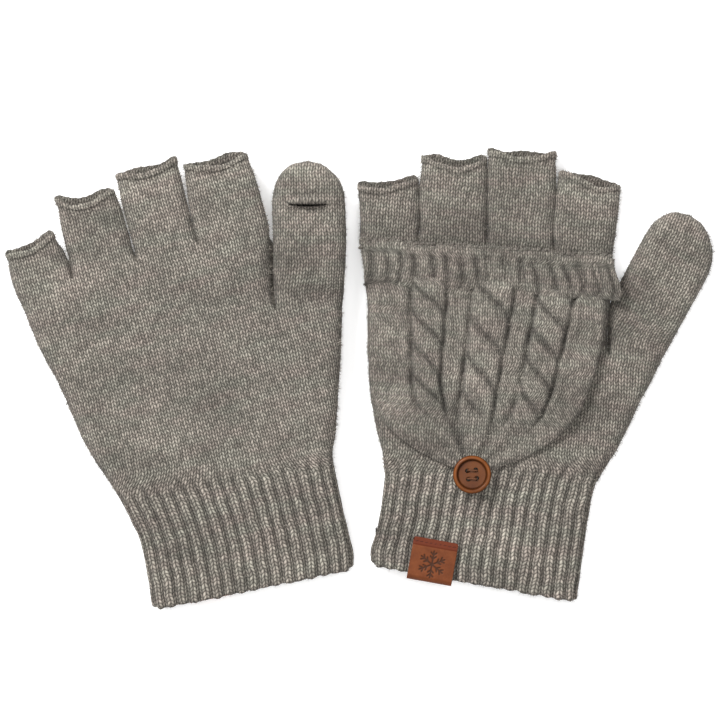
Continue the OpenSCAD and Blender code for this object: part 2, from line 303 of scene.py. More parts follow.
def extrude_row(bm, edges, row):
    """Extrudes a row of edges and returns the new ones, and its vertices in the same order."""
    made = bmesh.ops.extrude_edge_only(bm, edges=edges)["geom"]
    fresh = {v for v in made if isinstance(v, bmesh.types.BMVert)}
    edges = [e for e in made if isinstance(e, bmesh.types.BMEdge)
             and e.verts[0] in fresh and e.verts[1] in fresh]
    following = [
        next(e.other_vert(old) for e in old.link_edges if e.other_vert(old) in fresh) for old in row
    ]
    return edges, following


def new_fabric(name, tube, close_end=False, skip_faces=None):
    """A mesh object from the rings: a circle, extruded ring by ring."""
    bm = bmesh.new()
    tone = bm.verts.layers.float.new("tone")
    uv = bm.loops.layers.uv.new("Knit")
    size = len(tube.points[0])
    ring = bmesh.ops.create_circle(bm, segments=size, radius=1.0)["verts"]
    edges = list(bm.edges)
    rings = [ring]
    for v, p in zip(ring, tube.points[0]):
        v.co = p * MM
    for points in tube.points[1:]:
        edges, following = extrude_row(bm, edges, rings[-1])
        for v, p in zip(following, points):
            v.co = p * MM
        rings.append(following)
    place = {v: (r, k) for r, found in enumerate(rings) for k, v in enumerate(found)}
    for v, (r, k) in place.items():
        v[tone] = tube.tones[r][k]
    for face in bm.faces:
        ks = [place[v][1] for v in face.verts]
        wraps = max(ks) - min(ks) > size // 2
        for loop in face.loops:
            r, k = place[loop.vert]
            column = size if wraps and k == 0 else k
            loop[uv].uv = tube.grid[r][column]
    if skip_faces:
        gone = [f for f in bm.faces if skip_faces({place[v] for v in f.verts})]
        bmesh.ops.delete(bm, geom=gone, context="FACES")
    if close_end:
        centre = sum((v.co for v in rings[-1]), Vector()) / size
        bmesh.ops.pointmerge(bm, verts=rings[-1], merge_co=centre)
    return finish_mesh(name, bm)


def close_gaps(obj, merge=True):
    """The same piece without gaps: its meeting ends merged, or its open ends filled."""
    bm = bmesh.new()
    bm.from_mesh(obj.data)
    if merge:
        bmesh.ops.remove_doubles(bm, verts=bm.verts, dist=1e-6)
    else:
        bmesh.ops.holes_fill(bm, edges=bm.edges, sides=0)
    bmesh.ops.recalc_face_normals(bm, faces=bm.faces)
    bm.to_mesh(obj.data)
    bm.free()
    return obj


def finish_mesh(name, bm, smooth=True):
    """Turns the faces outwards and makes the object."""
    bmesh.ops.recalc_face_normals(bm, faces=bm.faces)
    mesh = bpy.data.meshes.new(name)
    bm.to_mesh(mesh)
    bm.free()
    for polygon in mesh.polygons:
        polygon.use_smooth = smooth
    obj = bpy.data.objects.new(name, mesh)
    bpy.context.scene.collection.objects.link(obj)
    return obj


def steady_faces(mesh):
    """Corners, area, normal and stitch place of each face, the same on every run.

    The order of a mesh's faces and the corner each starts from can change between runs,
    but its vertices keep their numbers.
    """
    uvs = mesh.uv_layers["Knit"].data
    starts = []
    for polygon in mesh.polygons:
        numbers = list(polygon.vertices)
        first = numbers.index(min(numbers))
        starts.append((numbers[first:] + numbers[:first], polygon.loop_indices[first]))
    faces = []
    for numbers, loop in sorted(starts):
        corners = [mesh.vertices[i].co for i in numbers]
        start = corners[0]
        spread = sum(
            ((b - start).cross(c - start) for b, c in zip(corners[1:], corners[2:])), Vector()
        )
        faces.append((corners, spread.length / 2, spread.normalized(), uvs[loop].uv))
    return faces


def fuzz(obj, per_mm2, seed, longest=2.0):
    """A halo of fine loose fibres rooted on a piece, densest on its sides."""
    rng = random.Random(seed)
    faces = steady_faces(obj.data)
    weights = [area * (0.06 + (1 - abs(out.z)) ** 1.5 * 2.5) for _, area, out, _ in faces]
    total = round(sum(area for _, area, _, _ in faces) / MM ** 2 * per_mm2)
    bm = bmesh.new()
    tone = bm.verts.layers.float.new("tone")
    uv = bm.loops.layers.uv.new("Knit")
    last = 2 * total - 1
    bmesh.ops.create_grid(bm, x_segments=2, y_segments=last, size=1.0)
    rows = {i: [] for i in range(last + 1)}
    for v in bm.verts:
        rows[round((v.co.y + 1) / 2 * last)].append(v)
    between = {
        f for i in range(1, last, 2) for v in rows[i] for f in v.link_faces
        if all(w in rows[i] or w in rows[i + 1] for w in f.verts)
    }
    bmesh.ops.delete(bm, geom=list(between), context="FACES")
    for i, (corners, _, out, place) in enumerate(rng.choices(faces, weights, k=total)):
        spot = corners[0].lerp(corners[1], rng.random()).lerp(corners[-1], rng.random())
        lean = Vector([rng.gauss(0, 0.6) for _ in range(3)])
        way = (out + lean).normalized()
        if spot.z < 0.0025 and way.z < 0:
            way.z = -way.z
        bend = way.cross(Vector([rng.gauss(0, 1) for _ in range(3)])).normalized()
        side = way.cross(bend).normalized()
        length = MM * rng.uniform(0.4, longest)
        wide = MM * rng.uniform(0.035, 0.1)
        shade = rng.uniform(0.8, 1.6)
        for row, across in ((2 * i, -1), (2 * i + 1, 1)):
            for v in rows[row]:
                t = (v.co.x + 1) / 2
                v[tone] = shade
                v.co = (
                    spot + way * (length * t - 0.0002) + bend * (length * 0.45 * t * t)
                    + side * (across * wide * (1.1 - t))
                )
                for loop in v.link_loops:
                    loop[uv].uv = (place.x, place.y)
    mesh = bpy.data.meshes.new(obj.name + "_fuzz")
    bm.to_mesh(mesh)
    bm.free()
    hairs = bpy.data.objects.new(obj.name + "_fuzz", mesh)
    bpy.context.scene.collection.objects.link(hairs)
    return hairs


def fuzzy(obj, material, body, slot, seed, density=0.32, longest=2.0):
    """Adds a halo of fibres that rides with the piece."""
    hairs = fuzz(obj, density, seed, longest)
    return finish_piece(hairs, material, body, slot)


def finish_piece(obj, material, body, slot, *nodes):
    """Gives a piece its material and its body, and hides the nodes that it replaces; the slot is not used.
    """
    obj.data.materials.clear()
    obj.data.materials.append(material)
    if body:
        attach(obj, body)
    if nodes:
        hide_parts(*nodes)
    return obj


# ---------------------------------------------------------------- materials

# Thread colours.
ELASTIC = (0.22, 0.19, 0.16)
BUTTON_THREAD = (0.15, 0.05, 0.015)
LABEL_THREAD = (0.16, 0.035, 0.018)


class Graph:
    """Adds and links shader nodes by short calls."""

    def __init__(self, name):
        self.material = bpy.data.materials.new(name)
        self.material.use_nodes = True
        self.tree = self.material.node_tree
        self.shader = self.tree.nodes["Principled BSDF"]

    def add(self, kind, inputs=None, **settings):
        node = self.tree.nodes.new(kind)
        for key, value in settings.items():
            setattr(node, key, value)
        for key, value in (inputs or {}).items():
            self.feed(node.inputs[key], value)
        return node

    def feed(self, socket, value):
        if isinstance(value, bpy.types.NodeSocket):
            self.tree.links.new(value, socket)
        else:
            socket.default_value = value

    def math(self, operation, a, b=None, c=None):
        values = {i: v for i, v in enumerate((a, b, c)) if v is not None}
        return self.add("ShaderNodeMath", values, operation=operation).outputs[0]

    def blend(self, factor, a, b, kind="MIX"):
        node = self.add("ShaderNodeMix", data_type="RGBA", blend_type=kind)
        self.feed(node.inputs[0], factor)
        self.feed(node.inputs[6], a)
        self.feed(node.inputs[7], b)
        return node.outputs[2]

    def noise(self, vector, scale, detail=2.0, roughness=0.5):
        node = self.add("ShaderNodeTexNoise", {"Scale": scale, "Detail": detail, "Roughness": roughness})
        if vector is not None:
            self.feed(node.inputs["Vector"], vector)
        return node.outputs["Fac"]

    def ramp(self, value, low, high):
        node = self.add("ShaderNodeMapRange", {"Value": value, "From Min": low, "From Max": high})
        return node.outputs["Result"]


def rgba(colour):
    """The colour as a shader socket takes it."""
    return (*colour, 1.0)


def knit_material(name, settings, hairs=0.4, crisp=1.0, light=1.0):
    """Marled stockinette: columns of V stitches on the piece's own stitch counts, with painted shade
    between the stitch legs; the piece's tone attribute adds its painted shade and light.
    """
    g = Graph(name)
    uv = g.add("ShaderNodeUVMap", uv_map="Knit").outputs[0]
    parts = g.add("ShaderNodeSeparateXYZ", {0: uv})
    x, y = parts.outputs[0], parts.outputs[1]
    drift = g.math("SUBTRACT", g.noise(uv, 0.22, 2.0), 0.5)
    x = g.math("ADD", x, g.math("MULTIPLY", drift, 0.9))
    jog = g.math("SUBTRACT", g.noise(uv, 0.8, 1.0), 0.5)
    y = g.math("ADD", y, g.math("MULTIPLY", jog, 0.7))
    fx = g.math("FRACT", x)
    slant = g.math("MULTIPLY", g.math("ABSOLUTE", g.math("SUBTRACT", fx, 0.5)), 1.5)
    course = g.math("ADD", y, slant)
    leg = g.math("SINE", g.math("MULTIPLY", g.math("FRACT", course), math.pi))
    side = g.math("ABSOLUTE", g.math("SINE", g.math("MULTIPLY", fx, TAU)))
    height = g.math("MULTIPLY", g.math("POWER", leg, 0.5), g.math("POWER", side, 0.75))
    cell = g.add("ShaderNodeCombineXYZ", {
        0: g.math("FLOOR", g.math("MULTIPLY", x, 2.0)), 1: g.math("FLOOR", course)
    }).outputs[0]
    fleck = g.add("ShaderNodeTexWhiteNoise", {"Vector": cell}, noise_dimensions="3D").outputs["Value"]
    run = g.add("ShaderNodeMapping", {"Vector": uv, "Scale": (0.1, 0.24, 1.0)}).outputs[0]
    marl = g.ramp(g.noise(run, 1.0, 4.0, 0.6), 0.36, 0.64)
    colour = g.blend(marl, rgba(settings.mauve), rgba(settings.olive))
    cloud = g.add("ShaderNodeMapping", {"Vector": uv, "Scale": (0.06, 0.11, 1.0), "Location": (7, 3, 0)})
    patch = g.ramp(g.noise(cloud.outputs[0], 1.0, 3.0, 0.55), 0.3, 0.7)
    patch = g.math("ADD", 0.82, g.math("MULTIPLY", patch, 0.36))
    speckle = g.math("ADD", 0.66, g.math("MULTIPLY", fleck, 0.68))
    # painted shade in the gaps between the stitch legs, lighter on the legs
    depth = g.math("ADD", 1 - 0.86 * crisp, g.math("MULTIPLY", height, 1.75 * crisp))
    # the tone attribute brings in the piece's painted shade and light
    tone = g.add("ShaderNodeAttribute", attribute_name="tone").outputs["Fac"]
    tone = g.math("MULTIPLY", g.math("MULTIPLY", speckle, depth), g.math("MULTIPLY", tone, light))
    tone = g.math("MULTIPLY", tone, patch)
    grey = g.add("ShaderNodeCombineColor", {0: tone, 1: tone, 2: tone}).outputs[0]
    colour = g.blend(1.0, colour, grey, "MULTIPLY")
    fibre = g.add("ShaderNodeMapping", {"Vector": uv, "Scale": (5.0, 1.6, 1.0)}).outputs[0]
    hair = g.noise(fibre, 1.7, 4.0, 0.75)
    colour = g.blend(g.math("MULTIPLY", g.ramp(hair, 0.48, 0.8), hairs), colour, rgba(settings.halo))
    g.feed(g.shader.inputs["Base Color"], colour)
    relief = g.math("ADD", height, g.math("MULTIPLY", hair, 0.5))
    bump = g.add("ShaderNodeBump", {"Height": relief, "Strength": 0.85, "Distance": 0.0006})
    g.feed(g.shader.inputs["Normal"], bump.outputs[0])
    g.shader.inputs["Roughness"].default_value = 0.95
    g.shader.inputs["Specular IOR Level"].default_value = 0.1
    g.shader.inputs["Sheen Weight"].default_value = 0.06
    g.shader.inputs["Sheen Roughness"].default_value = 0.6
    return g.material


def wood_material(name, settings):
    """Waxed turned wood with fine grain, painted shade in the groove round the dish and a painted highlight
    on the rim.
    """
    g = Graph(name)
    place = g.add("ShaderNodeTexCoord").outputs["Object"]
    grain = g.add("ShaderNodeMapping", {"Vector": place, "Scale": (900.0, 170.0, 300.0)}).outputs[0]
    lines = g.noise(grain, 1.0, 6.0, 0.6)
    blotch = g.noise(place, 160.0, 3.0)
    colour = g.blend(g.ramp(lines, 0.3, 0.72), rgba(settings.wood_dark), rgba(settings.wood))
    colour = g.blend(g.ramp(blotch, 0.3, 0.8), colour, rgba(settings.wood_pale))
    # painted highlight along the rim
    rim_highlight = g.add("ShaderNodeAttribute", attribute_name="rim_highlight").outputs["Fac"]
    colour = g.blend(rim_highlight, colour, rgba(tuple(min(1, 2.1 * c) for c in settings.wood_pale)))
    # painted shade in the groove round the dish
    groove = g.add("ShaderNodeAttribute", attribute_name="groove").outputs["Fac"]
    colour = g.blend(groove, colour, rgba(tuple(0.35 * c for c in settings.wood_dark)))
    g.feed(g.shader.inputs["Base Color"], colour)
    g.feed(g.shader.inputs["Roughness"], g.ramp(lines, -0.6, 2.2))
    bump = g.add("ShaderNodeBump", {"Height": lines, "Strength": 0.25, "Distance": 0.0001})
    g.feed(g.shader.inputs["Normal"], bump.outputs[0])
    g.shader.inputs["Specular IOR Level"].default_value = 0.14
    g.shader.inputs["Coat Weight"].default_value = 0.05
    g.shader.inputs["Coat Roughness"].default_value = 0.3
    return g.material


def leather_material(name, settings):
    """Matt rust-brown leather with pores, a red top strip and a dark pressed mark."""
    g = Graph(name)
    place = g.add("ShaderNodeTexCoord").outputs["Object"]
    pores = g.add("ShaderNodeTexVoronoi", {"Vector": place, "Scale": 2200.0}).outputs["Distance"]
    cloud = g.noise(place, 260.0, 4.0, 0.6)
    fine = g.noise(place, 1800.0, 3.0, 0.6)
    colour = g.blend(g.ramp(cloud, 0.3, 0.75), rgba(settings.leather_dark), rgba(settings.leather))
    mark = g.add("ShaderNodeAttribute", attribute_name="mark").outputs["Fac"]
    strip = g.add("ShaderNodeAttribute", attribute_name="strip").outputs["Fac"]
    colour = g.blend(strip, colour, rgba(settings.leather_red))
    colour = g.blend(g.math("MULTIPLY", mark, 0.95), colour, rgba(settings.pressed))
    colour = g.blend(g.math("MULTIPLY", fine, 0.25), colour, rgba(settings.leather_dark))
    g.feed(g.shader.inputs["Base Color"], colour)
    g.feed(g.shader.inputs["Roughness"], g.ramp(fine, -0.9, 1.1))
    g.shader.inputs["Specular IOR Level"].default_value = 0.2
    relief = g.math("ADD", g.math("MULTIPLY", pores, 0.6), fine)
    bump = g.add("ShaderNodeBump", {"Height": relief, "Strength": 0.35, "Distance": 0.00015})
    g.feed(g.shader.inputs["Normal"], bump.outputs[0])
    return g.material


def thread_material(name, colour):
    """Twisted thread: slanting lines of painted shade between the plies."""
    g = Graph(name)
    place = g.add("ShaderNodeTexCoord").outputs["Object"]
    turned = g.add("ShaderNodeMapping", {"Vector": place, "Rotation": (0.4, 0.7, 0.6)}).outputs[0]
    ply = g.add("ShaderNodeTexWave", {"Vector": turned, "Scale": 700.0, "Distortion": 1.5}).outputs["Fac"]
    # painted shade in the grooves between the plies
    dark = tuple(0.45 * c for c in colour)
    g.feed(g.shader.inputs["Base Color"], g.blend(ply, rgba(dark), rgba(colour)))
    bump = g.add("ShaderNodeBump", {"Height": ply, "Strength": 0.6, "Distance": 0.0002})
    g.feed(g.shader.inputs["Normal"], bump.outputs[0])
    g.shader.inputs["Roughness"].default_value = 0.8
    return g.material


def floor_material(name):
    """Pale paper that glows a little, so that it stays white under soft light."""
    g = Graph(name)
    place = g.add("ShaderNodeTexCoord").outputs["Object"]
    tint = g.noise(place, 8.0, 2.0)
    g.feed(g.shader.inputs["Base Color"], g.blend(tint, (0.93, 0.93, 0.93, 1), (0.95, 0.95, 0.95, 1)))
    g.shader.inputs["Roughness"].default_value = 0.9
    g.shader.inputs["Emission Color"].default_value = (1, 1, 1, 1)
    g.shader.inputs["Emission Strength"].default_value = 0.37
    return g.material


# ---------------------------------------------------------------- knitting


def waves(point, size, seed=0.0):
    """Soft noise from about -1 to 1, the same on every run."""
    return 2 * noise.noise(Vector((point[0] / size, point[1] / size, point[2] / size + seed)))


def rib_relief(column, per_rib, depth):
    """Broad raised ribs with narrow furrows between them."""
    wave = 0.5 + 0.5 * math.cos(TAU * column / per_rib)
    return depth * (wave ** 0.5 - 1)


def rib_tone(column, per_rib):
    """The light on a rib: a little more on its crest, much less down in the furrow."""
    wave = 0.5 - 0.5 * math.cos(TAU * column / per_rib)
    return 1.18 - 0.56 * wave ** 3


PUCKERS = {  # dents above the cuff: x, y, depth and radius, in mm
    "left": [],
    "right": [(-61.5, -31, 0.9, 3.4), (-47, -26.5, 0.8, 3), (-27.5, -25, 0.7, 3), (-75, -40, 0.6, 3)],
}
FINGER_BOW = {  # how far the sides of each finger bow, in mm, at the middle of its length
    "left": [(0.2, 0, 0.7, 0), (-0.8, 0, 0.75, 0), (-0.8, 0, 0.8, 0), (-0.8, 0, 0.1, 0)],
    "right": [(-0.2, 0, 0.6, 0), (-0.5, 0, 0.5, 0), (-0.5, 0, 0.5, 0), (-0.5, 0, 0.3, 0)],
}
HAND_AXIS = {  # the way the stitch columns run
    "left": (0.08, 1.0),
    "right": (-0.255, 1.0),
}
RIM_RISE = {"left": 1.9, "right": 1.7}  # mm that the rolled edge adds to a finger
FINGER_DIPS = {  # how deep each finger's edge dips, in mm, and which way it leans
    "left": [(3.4, 0.8), (5.2, 1.25), (2.8, 1.0), (3.6, 1.3)],
    "right": [(3.2, 1.0), (4.8, 0.9), (3.2, 1.0), (4.2, 0.85)],
}


class Hand:
    """The knit shell of one mitten, ring by ring from the hem to the fingertips."""

    def __init__(self, side, settings):
        self.side = side
        self.lay = Lay(side)
        self.settings = settings
        self.rows = ROWS[side]
        self.per_rib = COLUMNS / settings.ribs

    def palm_low(self, share):
        return self.lay.low

    def palm_thick(self, share):
        return self.lay.high - self.lay.low

    def cuff_low(self, share):
        hem = node_box(f"{self.side}_cuff_hem")[0].z
        if self.side == "left":
            return hem
        return mix(hem, self.lay.low, ease((share - 0.25) / 0.75))

    def pucker(self, point, normal):
        """How far the surface falls into the dents at a point of the palm, in mm."""
        total = 0.0
        facing = -self.lay.up
        if normal[2] * facing < 0.4:
            return total
        for x, y, depth, radius in PUCKERS[self.side]:
            gap = ((point[0] - x) ** 2 + ((point[1] - y) * 0.8) ** 2) / radius ** 2
            total -= depth * math.exp(-gap)
        return total

    def soft(self, p):
        """The unevenness of loose plain knit, in mm."""
        return 0.45 * waves(p, 30, 3.1) + 0.12 * waves(p, 5, 1.7)

    def soft_cuff(self, p):
        """The unevenness of the firmer cuff, in mm."""
        return 0.35 * waves(p, 26, 3.1) + 0.12 * waves(p, 5, 1.7)

    def rib_shades(self):
        """The light on each column of a ribbed ring."""
        return np.array([rib_tone(k, self.per_rib) for k in range(2 * COLUMNS)])

    def cuff(self):
        """The ribbed tube round the wrist, with its hem turned in."""
        s = self.settings
        points, normals, length = tube_between(
            self.rows["cuff"], self.cuff_low, self.palm_thick, COLUMNS
        )
        step = length / (len(points) - 1)
        tube = Tube(points, normals, None)

        down = points[0] - points[3]
        down /= np.linalg.norm(down, axis=1, keepdims=True)
        for k in range(len(points[0])):
            scallop = 0.22 * math.cos(TAU * k / self.per_rib)
            scallop += 0.4 * waves((k / 9.0, 0, self.lay.up), 1.0, 2.0)
            corner = 1 - ease(min(k % COLUMNS, COLUMNS - k % COLUMNS) / 7)
            for r in range(6):
                points[r][k] += down[k] * (scallop - 1.5 * corner) * (1 - r / 6)

        def relief(r, k, p):
            fade = 1 - 0.25 * ease((r * step - length + 6) / 6)
            ribs = rib_relief(k, self.per_rib, s.rib_depth) * fade
            return ribs + self.soft_cuff(p)

        tube.push(relief, 0.1)
        tube.paint_side_shade()
        shade = self.rib_shades()
        tube.tones = [tones * shade for tones in tube.tones]
        turned = self.turned_hem(tube)
        tube.points = turned + tube.points
        # painted shade inside the cuff and round the fold of the hem
        shades = [0.4] * INNER_HEM + [0.75] * HEM_TURN
        tube.tones = [np.full(len(tube.tones[0]), shade) for shade in shades] + tube.tones
        tube.grid = self.rib_grid(tube.points, -1)
        return new_fabric(f"{self.side}_ribbed_cuff", tube)

    def turned_hem(self, tube):
        """Rings that turn the hem inwards and run up inside the cuff, innermost first."""
        first, second = tube.points[0], tube.points[1]
        inward = -tube.normals[0]
        down = (first - second) / np.linalg.norm(first - second, axis=1, keepdims=True)
        rings = []
        for i in range(INNER_HEM, 0, -1):
            rings.append(first - down * (i * 1.6 + 0.2) + inward * HEM_WALL * 1.6)
        bend = HEM_WALL * 0.8
        for i in range(HEM_TURN, 0, -1):
            turn = math.pi * i / (HEM_TURN + 1)
            rings.append(first + down * math.sin(turn) * bend + inward * bend * (1 - math.cos(turn)))
        return rings

    def grid(self, rings, axis=None):
        """Stitch counts for rings of this hand, along its own axis unless told another."""
        s = self.settings
        return stitch_grid(rings, axis or HAND_AXIS[self.side], s.wale, s.course)

    def rib_grid(self, rings, shared):
        """Two stitch columns to each rib, a wide one on its crest and one down in the furrow."""
        found = self.grid(rings)
        ribs = np.arange(2 * COLUMNS + 1) / self.per_rib
        ribbed = 2 * ribs - 0.12 * np.sin(TAU * ribs) + 0.5
        layers = (slice(0, COLUMNS), slice(COLUMNS, 2 * COLUMNS + 1))
        middle = COLUMNS // 2
        shifts = [
            round(found[shared][layer][middle, 0] - ribbed[layer][middle]) for layer in layers
        ]
        for stitches in found:
            for layer, shift in zip(layers, shifts):
                stitches[layer, 0] = ribbed[layer] + shift
        return found

    def palm(self):
        """The hand from the cuff to the thumb, where the ribs die away into plain knit."""
        s = self.settings
        points, normals, length = tube_between(
            self.rows["palm"], self.palm_low, self.palm_thick, COLUMNS
        )
        step = length / (len(points) - 1)
        ribbed, plain = self.rib_grid(points, 0), self.grid(points)
        tube = Tube(points, normals, [
            mix(a, b, ease(r * step / 11)) for r, (a, b) in enumerate(zip(ribbed, plain))
        ])

        def relief(r, k, p):
            on = r * step
            ribs = rib_relief(k, self.per_rib, s.rib_depth) * 0.75 * (1 - ease(on / RIB_END))
            gather = waves((k / 7.0, self.lay.up * 3.0, 0.0), 1.0, 5.0) * math.exp(-on / RIB_END)
            gather *= 0.9 * ease(on / 3)
            swell = mix(self.soft_cuff(p), self.soft(p), ease(on / 4))
            return ribs + gather + swell + self.pucker(p, normals[r][k])

        tube.push(relief, 0.15)
        tube.paint_side_shade()
        shade = self.rib_shades()
        for r, tones in enumerate(tube.tones):
            tones *= mix(shade, 1.0, ease(r * step / RIB_END))
        self.palm_top = tube.points[-1]
        return new_fabric(f"{self.side}_palm", tube)

    def crotch_column(self):
        """The column at which the thumb leaves the hand."""
        low, high = np.array(self.rows["palm"][-1][:2]), np.array(self.rows["palm"][-1][2:4])
        crotch = np.array(self.rows["upper"][0][2:4])
        share = np.linalg.norm(crotch - low) / np.linalg.norm(high - low)
        return round(share * COLUMNS)

    def upper_palm(self):
        """The hand from the thumb to the knuckles."""
        column = self.crotch_column()
        start = part_ring(self.palm_top, 0, column)
        half = len(start) // 2
        points, normals, length = tube_between(
            self.rows["upper"], self.palm_low, self.palm_thick, half, start
        )
        step = length / (len(points) - 1)
        tube = Tube(points, normals, self.grid(points))
        tube.push(lambda r, k, p: self.soft(p) * ease(r * step / MORPH))
        tube.paint_side_shade()
        self.upper_top = tube.points[-1]
        return new_fabric(f"{self.side}_knuckles", tube)

    def finger(self, which):
        """One open half finger with its rolled edge."""
        half = len(self.upper_top) // 2
        marks = [0] + [round(f * half) for f in FINGER_SHARES[self.side]] + [half]
        first, last = marks[which], marks[which + 1]
        start = part_ring(self.upper_top, first, last)
        root = self.rows["upper"][-1]
        ends = [first / half, last / half]
        left = [mix(root[i], root[i + 2], ends[0]) for i in (0, 1)]
        right = [mix(root[i], root[i + 2], ends[1]) for i in (0, 1)]
        tip = self.rows["tips"][which]
        inset = 0.05
        across = np.array(right) - np.array(left)
        across = across / np.linalg.norm(across) * inset
        root_row = (*(np.array(left) + across), *(np.array(right) - across))
        palm_t = self.lay.high - self.lay.low

        def thick(share):
            return mix(palm_t, self.lay.stub_t * 0.92, ease(share * 5))

        def low(share):
            if self.lay.up > 0:
                return self.lay.low + 0.1
            return self.lay.high - 0.1 - thick(share)

        middle = tuple(mix(np.array(root_row), np.array(tip), 0.5) + FINGER_BOW[self.side][which])
        points, normals, length = tube_between(
            [root_row, middle, tip], low, thick, len(start) // 2, start, edge=5.0
        )
        step = length / (len(points) - 1)
        count = len(points[0])
        axis = np.array([(tip[0] + tip[2] - root_row[0] - root_row[2]) / 2,
                         (tip[1] + tip[3] - root_row[1] - root_row[3]) / 2, 0.0])
        axis /= np.linalg.norm(axis)
        dip, lean = FINGER_DIPS[self.side][which]

        def edge_drop(k):
            share = k / (count / 2)
            deep = dip if share <= 1 else 0.3 * dip
            share = min(share, 2 - share)
            corner = 1 - ease(min(share, 1 - share) / 0.12)
            return -deep * math.sin(math.pi * share ** lean) ** 1.2 - 1.1 * corner - RIM_RISE[self.side]

        for r, ring in enumerate(points):
            pull = ease((r * step - length + TIP_LENGTH) / TIP_LENGTH)
            for k in range(count):
                ring[k] += axis * edge_drop(k) * pull
        tube = Tube(points, normals, None)
        tube.push(lambda r, k, p: self.soft(p) * ease(r * step / MORPH))
        tube.paint_side_shade()
        # painted shadow of the folded-back cap over the roots of the fingers, on the mitten that lies back
        # up
        for r, tones in enumerate(tube.tones):
            if self.side == "left":
                tones *= 0.97 - 0.4 * math.exp(-max(0.0, r * step - 1.5) / 6.5)
        rim, rim_tones = self.rolled_rim(points[-1], normals[-1], axis, which)
        tube.points = points + rim
        tube.tones += rim_tones
        tube.grid = self.grid(tube.points)
        return new_fabric(f"{self.side}_{FINGERS[which]}_finger", tube)

    def rolled_rim(self, ring, normals, axis, which):
        """Rings that roll the bind-off edge out, over and back down inside the finger, with painted light
        on the roll and painted shade that deepens inside the finger.
        """
        rings, tones = [], []
        count = len(ring)
        lumps = np.array([
            0.14 * math.sin(k * TAU / 4.3 + which) + 0.9 * waves((k * 0.5, which * 9.0, 0.0), 6.0, 2.0)
            for k in range(count)
        ])[:, None]
        facing = (0.2 + 0.8 * np.abs(normals[:, 2:3]) ** 0.7) * normals
        for i in range(1, 11):
            turn = math.pi * (1.3 * i / 10 - 0.45)
            out = RIM_CURL * 0.8 * (math.cos(turn) - math.cos(-0.45 * math.pi))
            up = RIM_CURL * 1.15 * (math.sin(turn) + math.sin(0.45 * math.pi))
            swell = math.sin(math.pi * i / 11)
            rings.append(ring + facing * out + axis * up + (axis + facing * 0.5) * lumps * swell)
            # painted shade under the roll and where it turns inside, painted light on top of the roll
            tones.append(np.full(count, 0.82 if i == 1 else 1.04 if i < 8 else 0.65))
        last = rings[-1]
        for i in range(1, 8):
            rings.append(last - axis * i * 1.6 - normals * 0.12 * i)
            # painted shade deepening down inside the finger
            tones.append(np.full(count, max(0.25, 0.62 - i * 0.07)))
        return rings, tones

    def thumb(self):
        """The closed thumb, with the slit left open across it."""
        column = self.crotch_column()
        start = part_ring(self.palm_top, column, COLUMNS)
        rows = self.rows["thumb"]
        palm_t = self.lay.high - self.lay.low
        tip_share = 0.86

        def thick(share):
            if share < tip_share:
                return palm_t
            t = (share - tip_share) / (1 - tip_share)
            return max(1.5, palm_t * math.sqrt(max(0.0, 1 - t * t * 0.95)))

        def low(share):
            return self.lay.low + (palm_t - thick(share)) / 2

        points, normals, length = tube_between(rows, low, thick, len(start) // 2, start)
        step = length / (len(points) - 1)
        tube = Tube(points, normals, self.thumb_grid(points, step))
        tube.push(lambda r, k, p: self.soft(p) * ease(r * step / MORPH))
        tube.paint_side_shade()
        slit = self.slit_opening(tube)
        return new_fabric(f"{self.side}_thumb", tube, close_end=True, skip_faces=slit)

    def thumb_grid(self, points, step):
        """The hand's stitches at the root of the thumb, turning to the thumb's own way."""
        rows = self.rows["thumb"]
        lead = np.array(rows[5]) - np.array(rows[1])
        hand, own = self.grid(points), self.grid(points, (lead[0] + lead[2], lead[1] + lead[3]))
        shift = hand[0].mean(axis=0) - own[0].mean(axis=0)
        return [
            mix(a, b + shift, ease(r * step / 16)) for r, (a, b) in enumerate(zip(hand, own))
        ]

    def slit_opening(self, tube):
        """Parts the rings at the slit on the palm side, paints shade below the slit and a band of painted
        shadow above its upper lip, and tells which faces to leave out.
        """
        slit_row = np.array(self.rows["thumb"][SLIT_ROW[self.side]])
        centre = (slit_row[:2] + slit_row[2:]) / 2
        rings = tube.points
        middles = [np.mean(r, axis=0)[:2] for r in rings]
        at = min(range(len(rings)), key=lambda r: np.linalg.norm(middles[r] - centre))
        size = len(rings[0])
        half = size // 2
        quarter = half // 2
        reach = max(3, round(HALF_SLIT / (np.linalg.norm(slit_row[2:] - slit_row[:2]) * 1.06 / half)))
        top = self.lay.up < 0
        middle = quarter if top else half + quarter
        free = 1.0 if top else LAID_ON
        along = rings[at + 1] - rings[at - 1]
        along /= np.linalg.norm(along, axis=1, keepdims=True)
        for k in range(size):
            off = abs(k - middle) / reach
            if off >= 1.4:
                continue
            bow = max(0.0, 1 - off * off)
            for r in range(at - 6, at + 8):
                gap = r - at - 0.5
                near = math.exp(-abs(abs(gap) - 0.5) / 1.3)
                rings[r][k] += along[k] * (0.2 if gap > 0 else -0.6) * bow * near
                lift = 2.1 * math.exp(-(((gap - 1.4) / 1.7) ** 2)) if gap > 0 else -1.0 * near
                rings[r][k] += tube.normals[r][k] * lift * bow * free
                # painted shade at the slit's lower edge and a painted shadow above the upper lip
                if gap < 0:
                    tube.tones[r][k] *= 1 - 0.6 * near * bow
                else:
                    tube.tones[r][k] *= 1 - 0.5 * bow ** 0.5 * math.exp(-(((gap - 3.9) / 1.0) ** 2))
        self.slit_rings = (
            [rings[at][k].copy() for k in range(middle - reach, middle + reach + 1)],
            [rings[at + 1][k].copy() for k in range(middle - reach, middle + reach + 1)],
            [tube.normals[at][k].copy() for k in range(middle - reach, middle + reach + 1)],
        )

        def skip(places):
            rows = {r for r, _ in places}
            columns = [k for _, k in places]
            return rows == {at, at + 1} and all(abs(k - middle) <= reach for k in columns)

        return skip


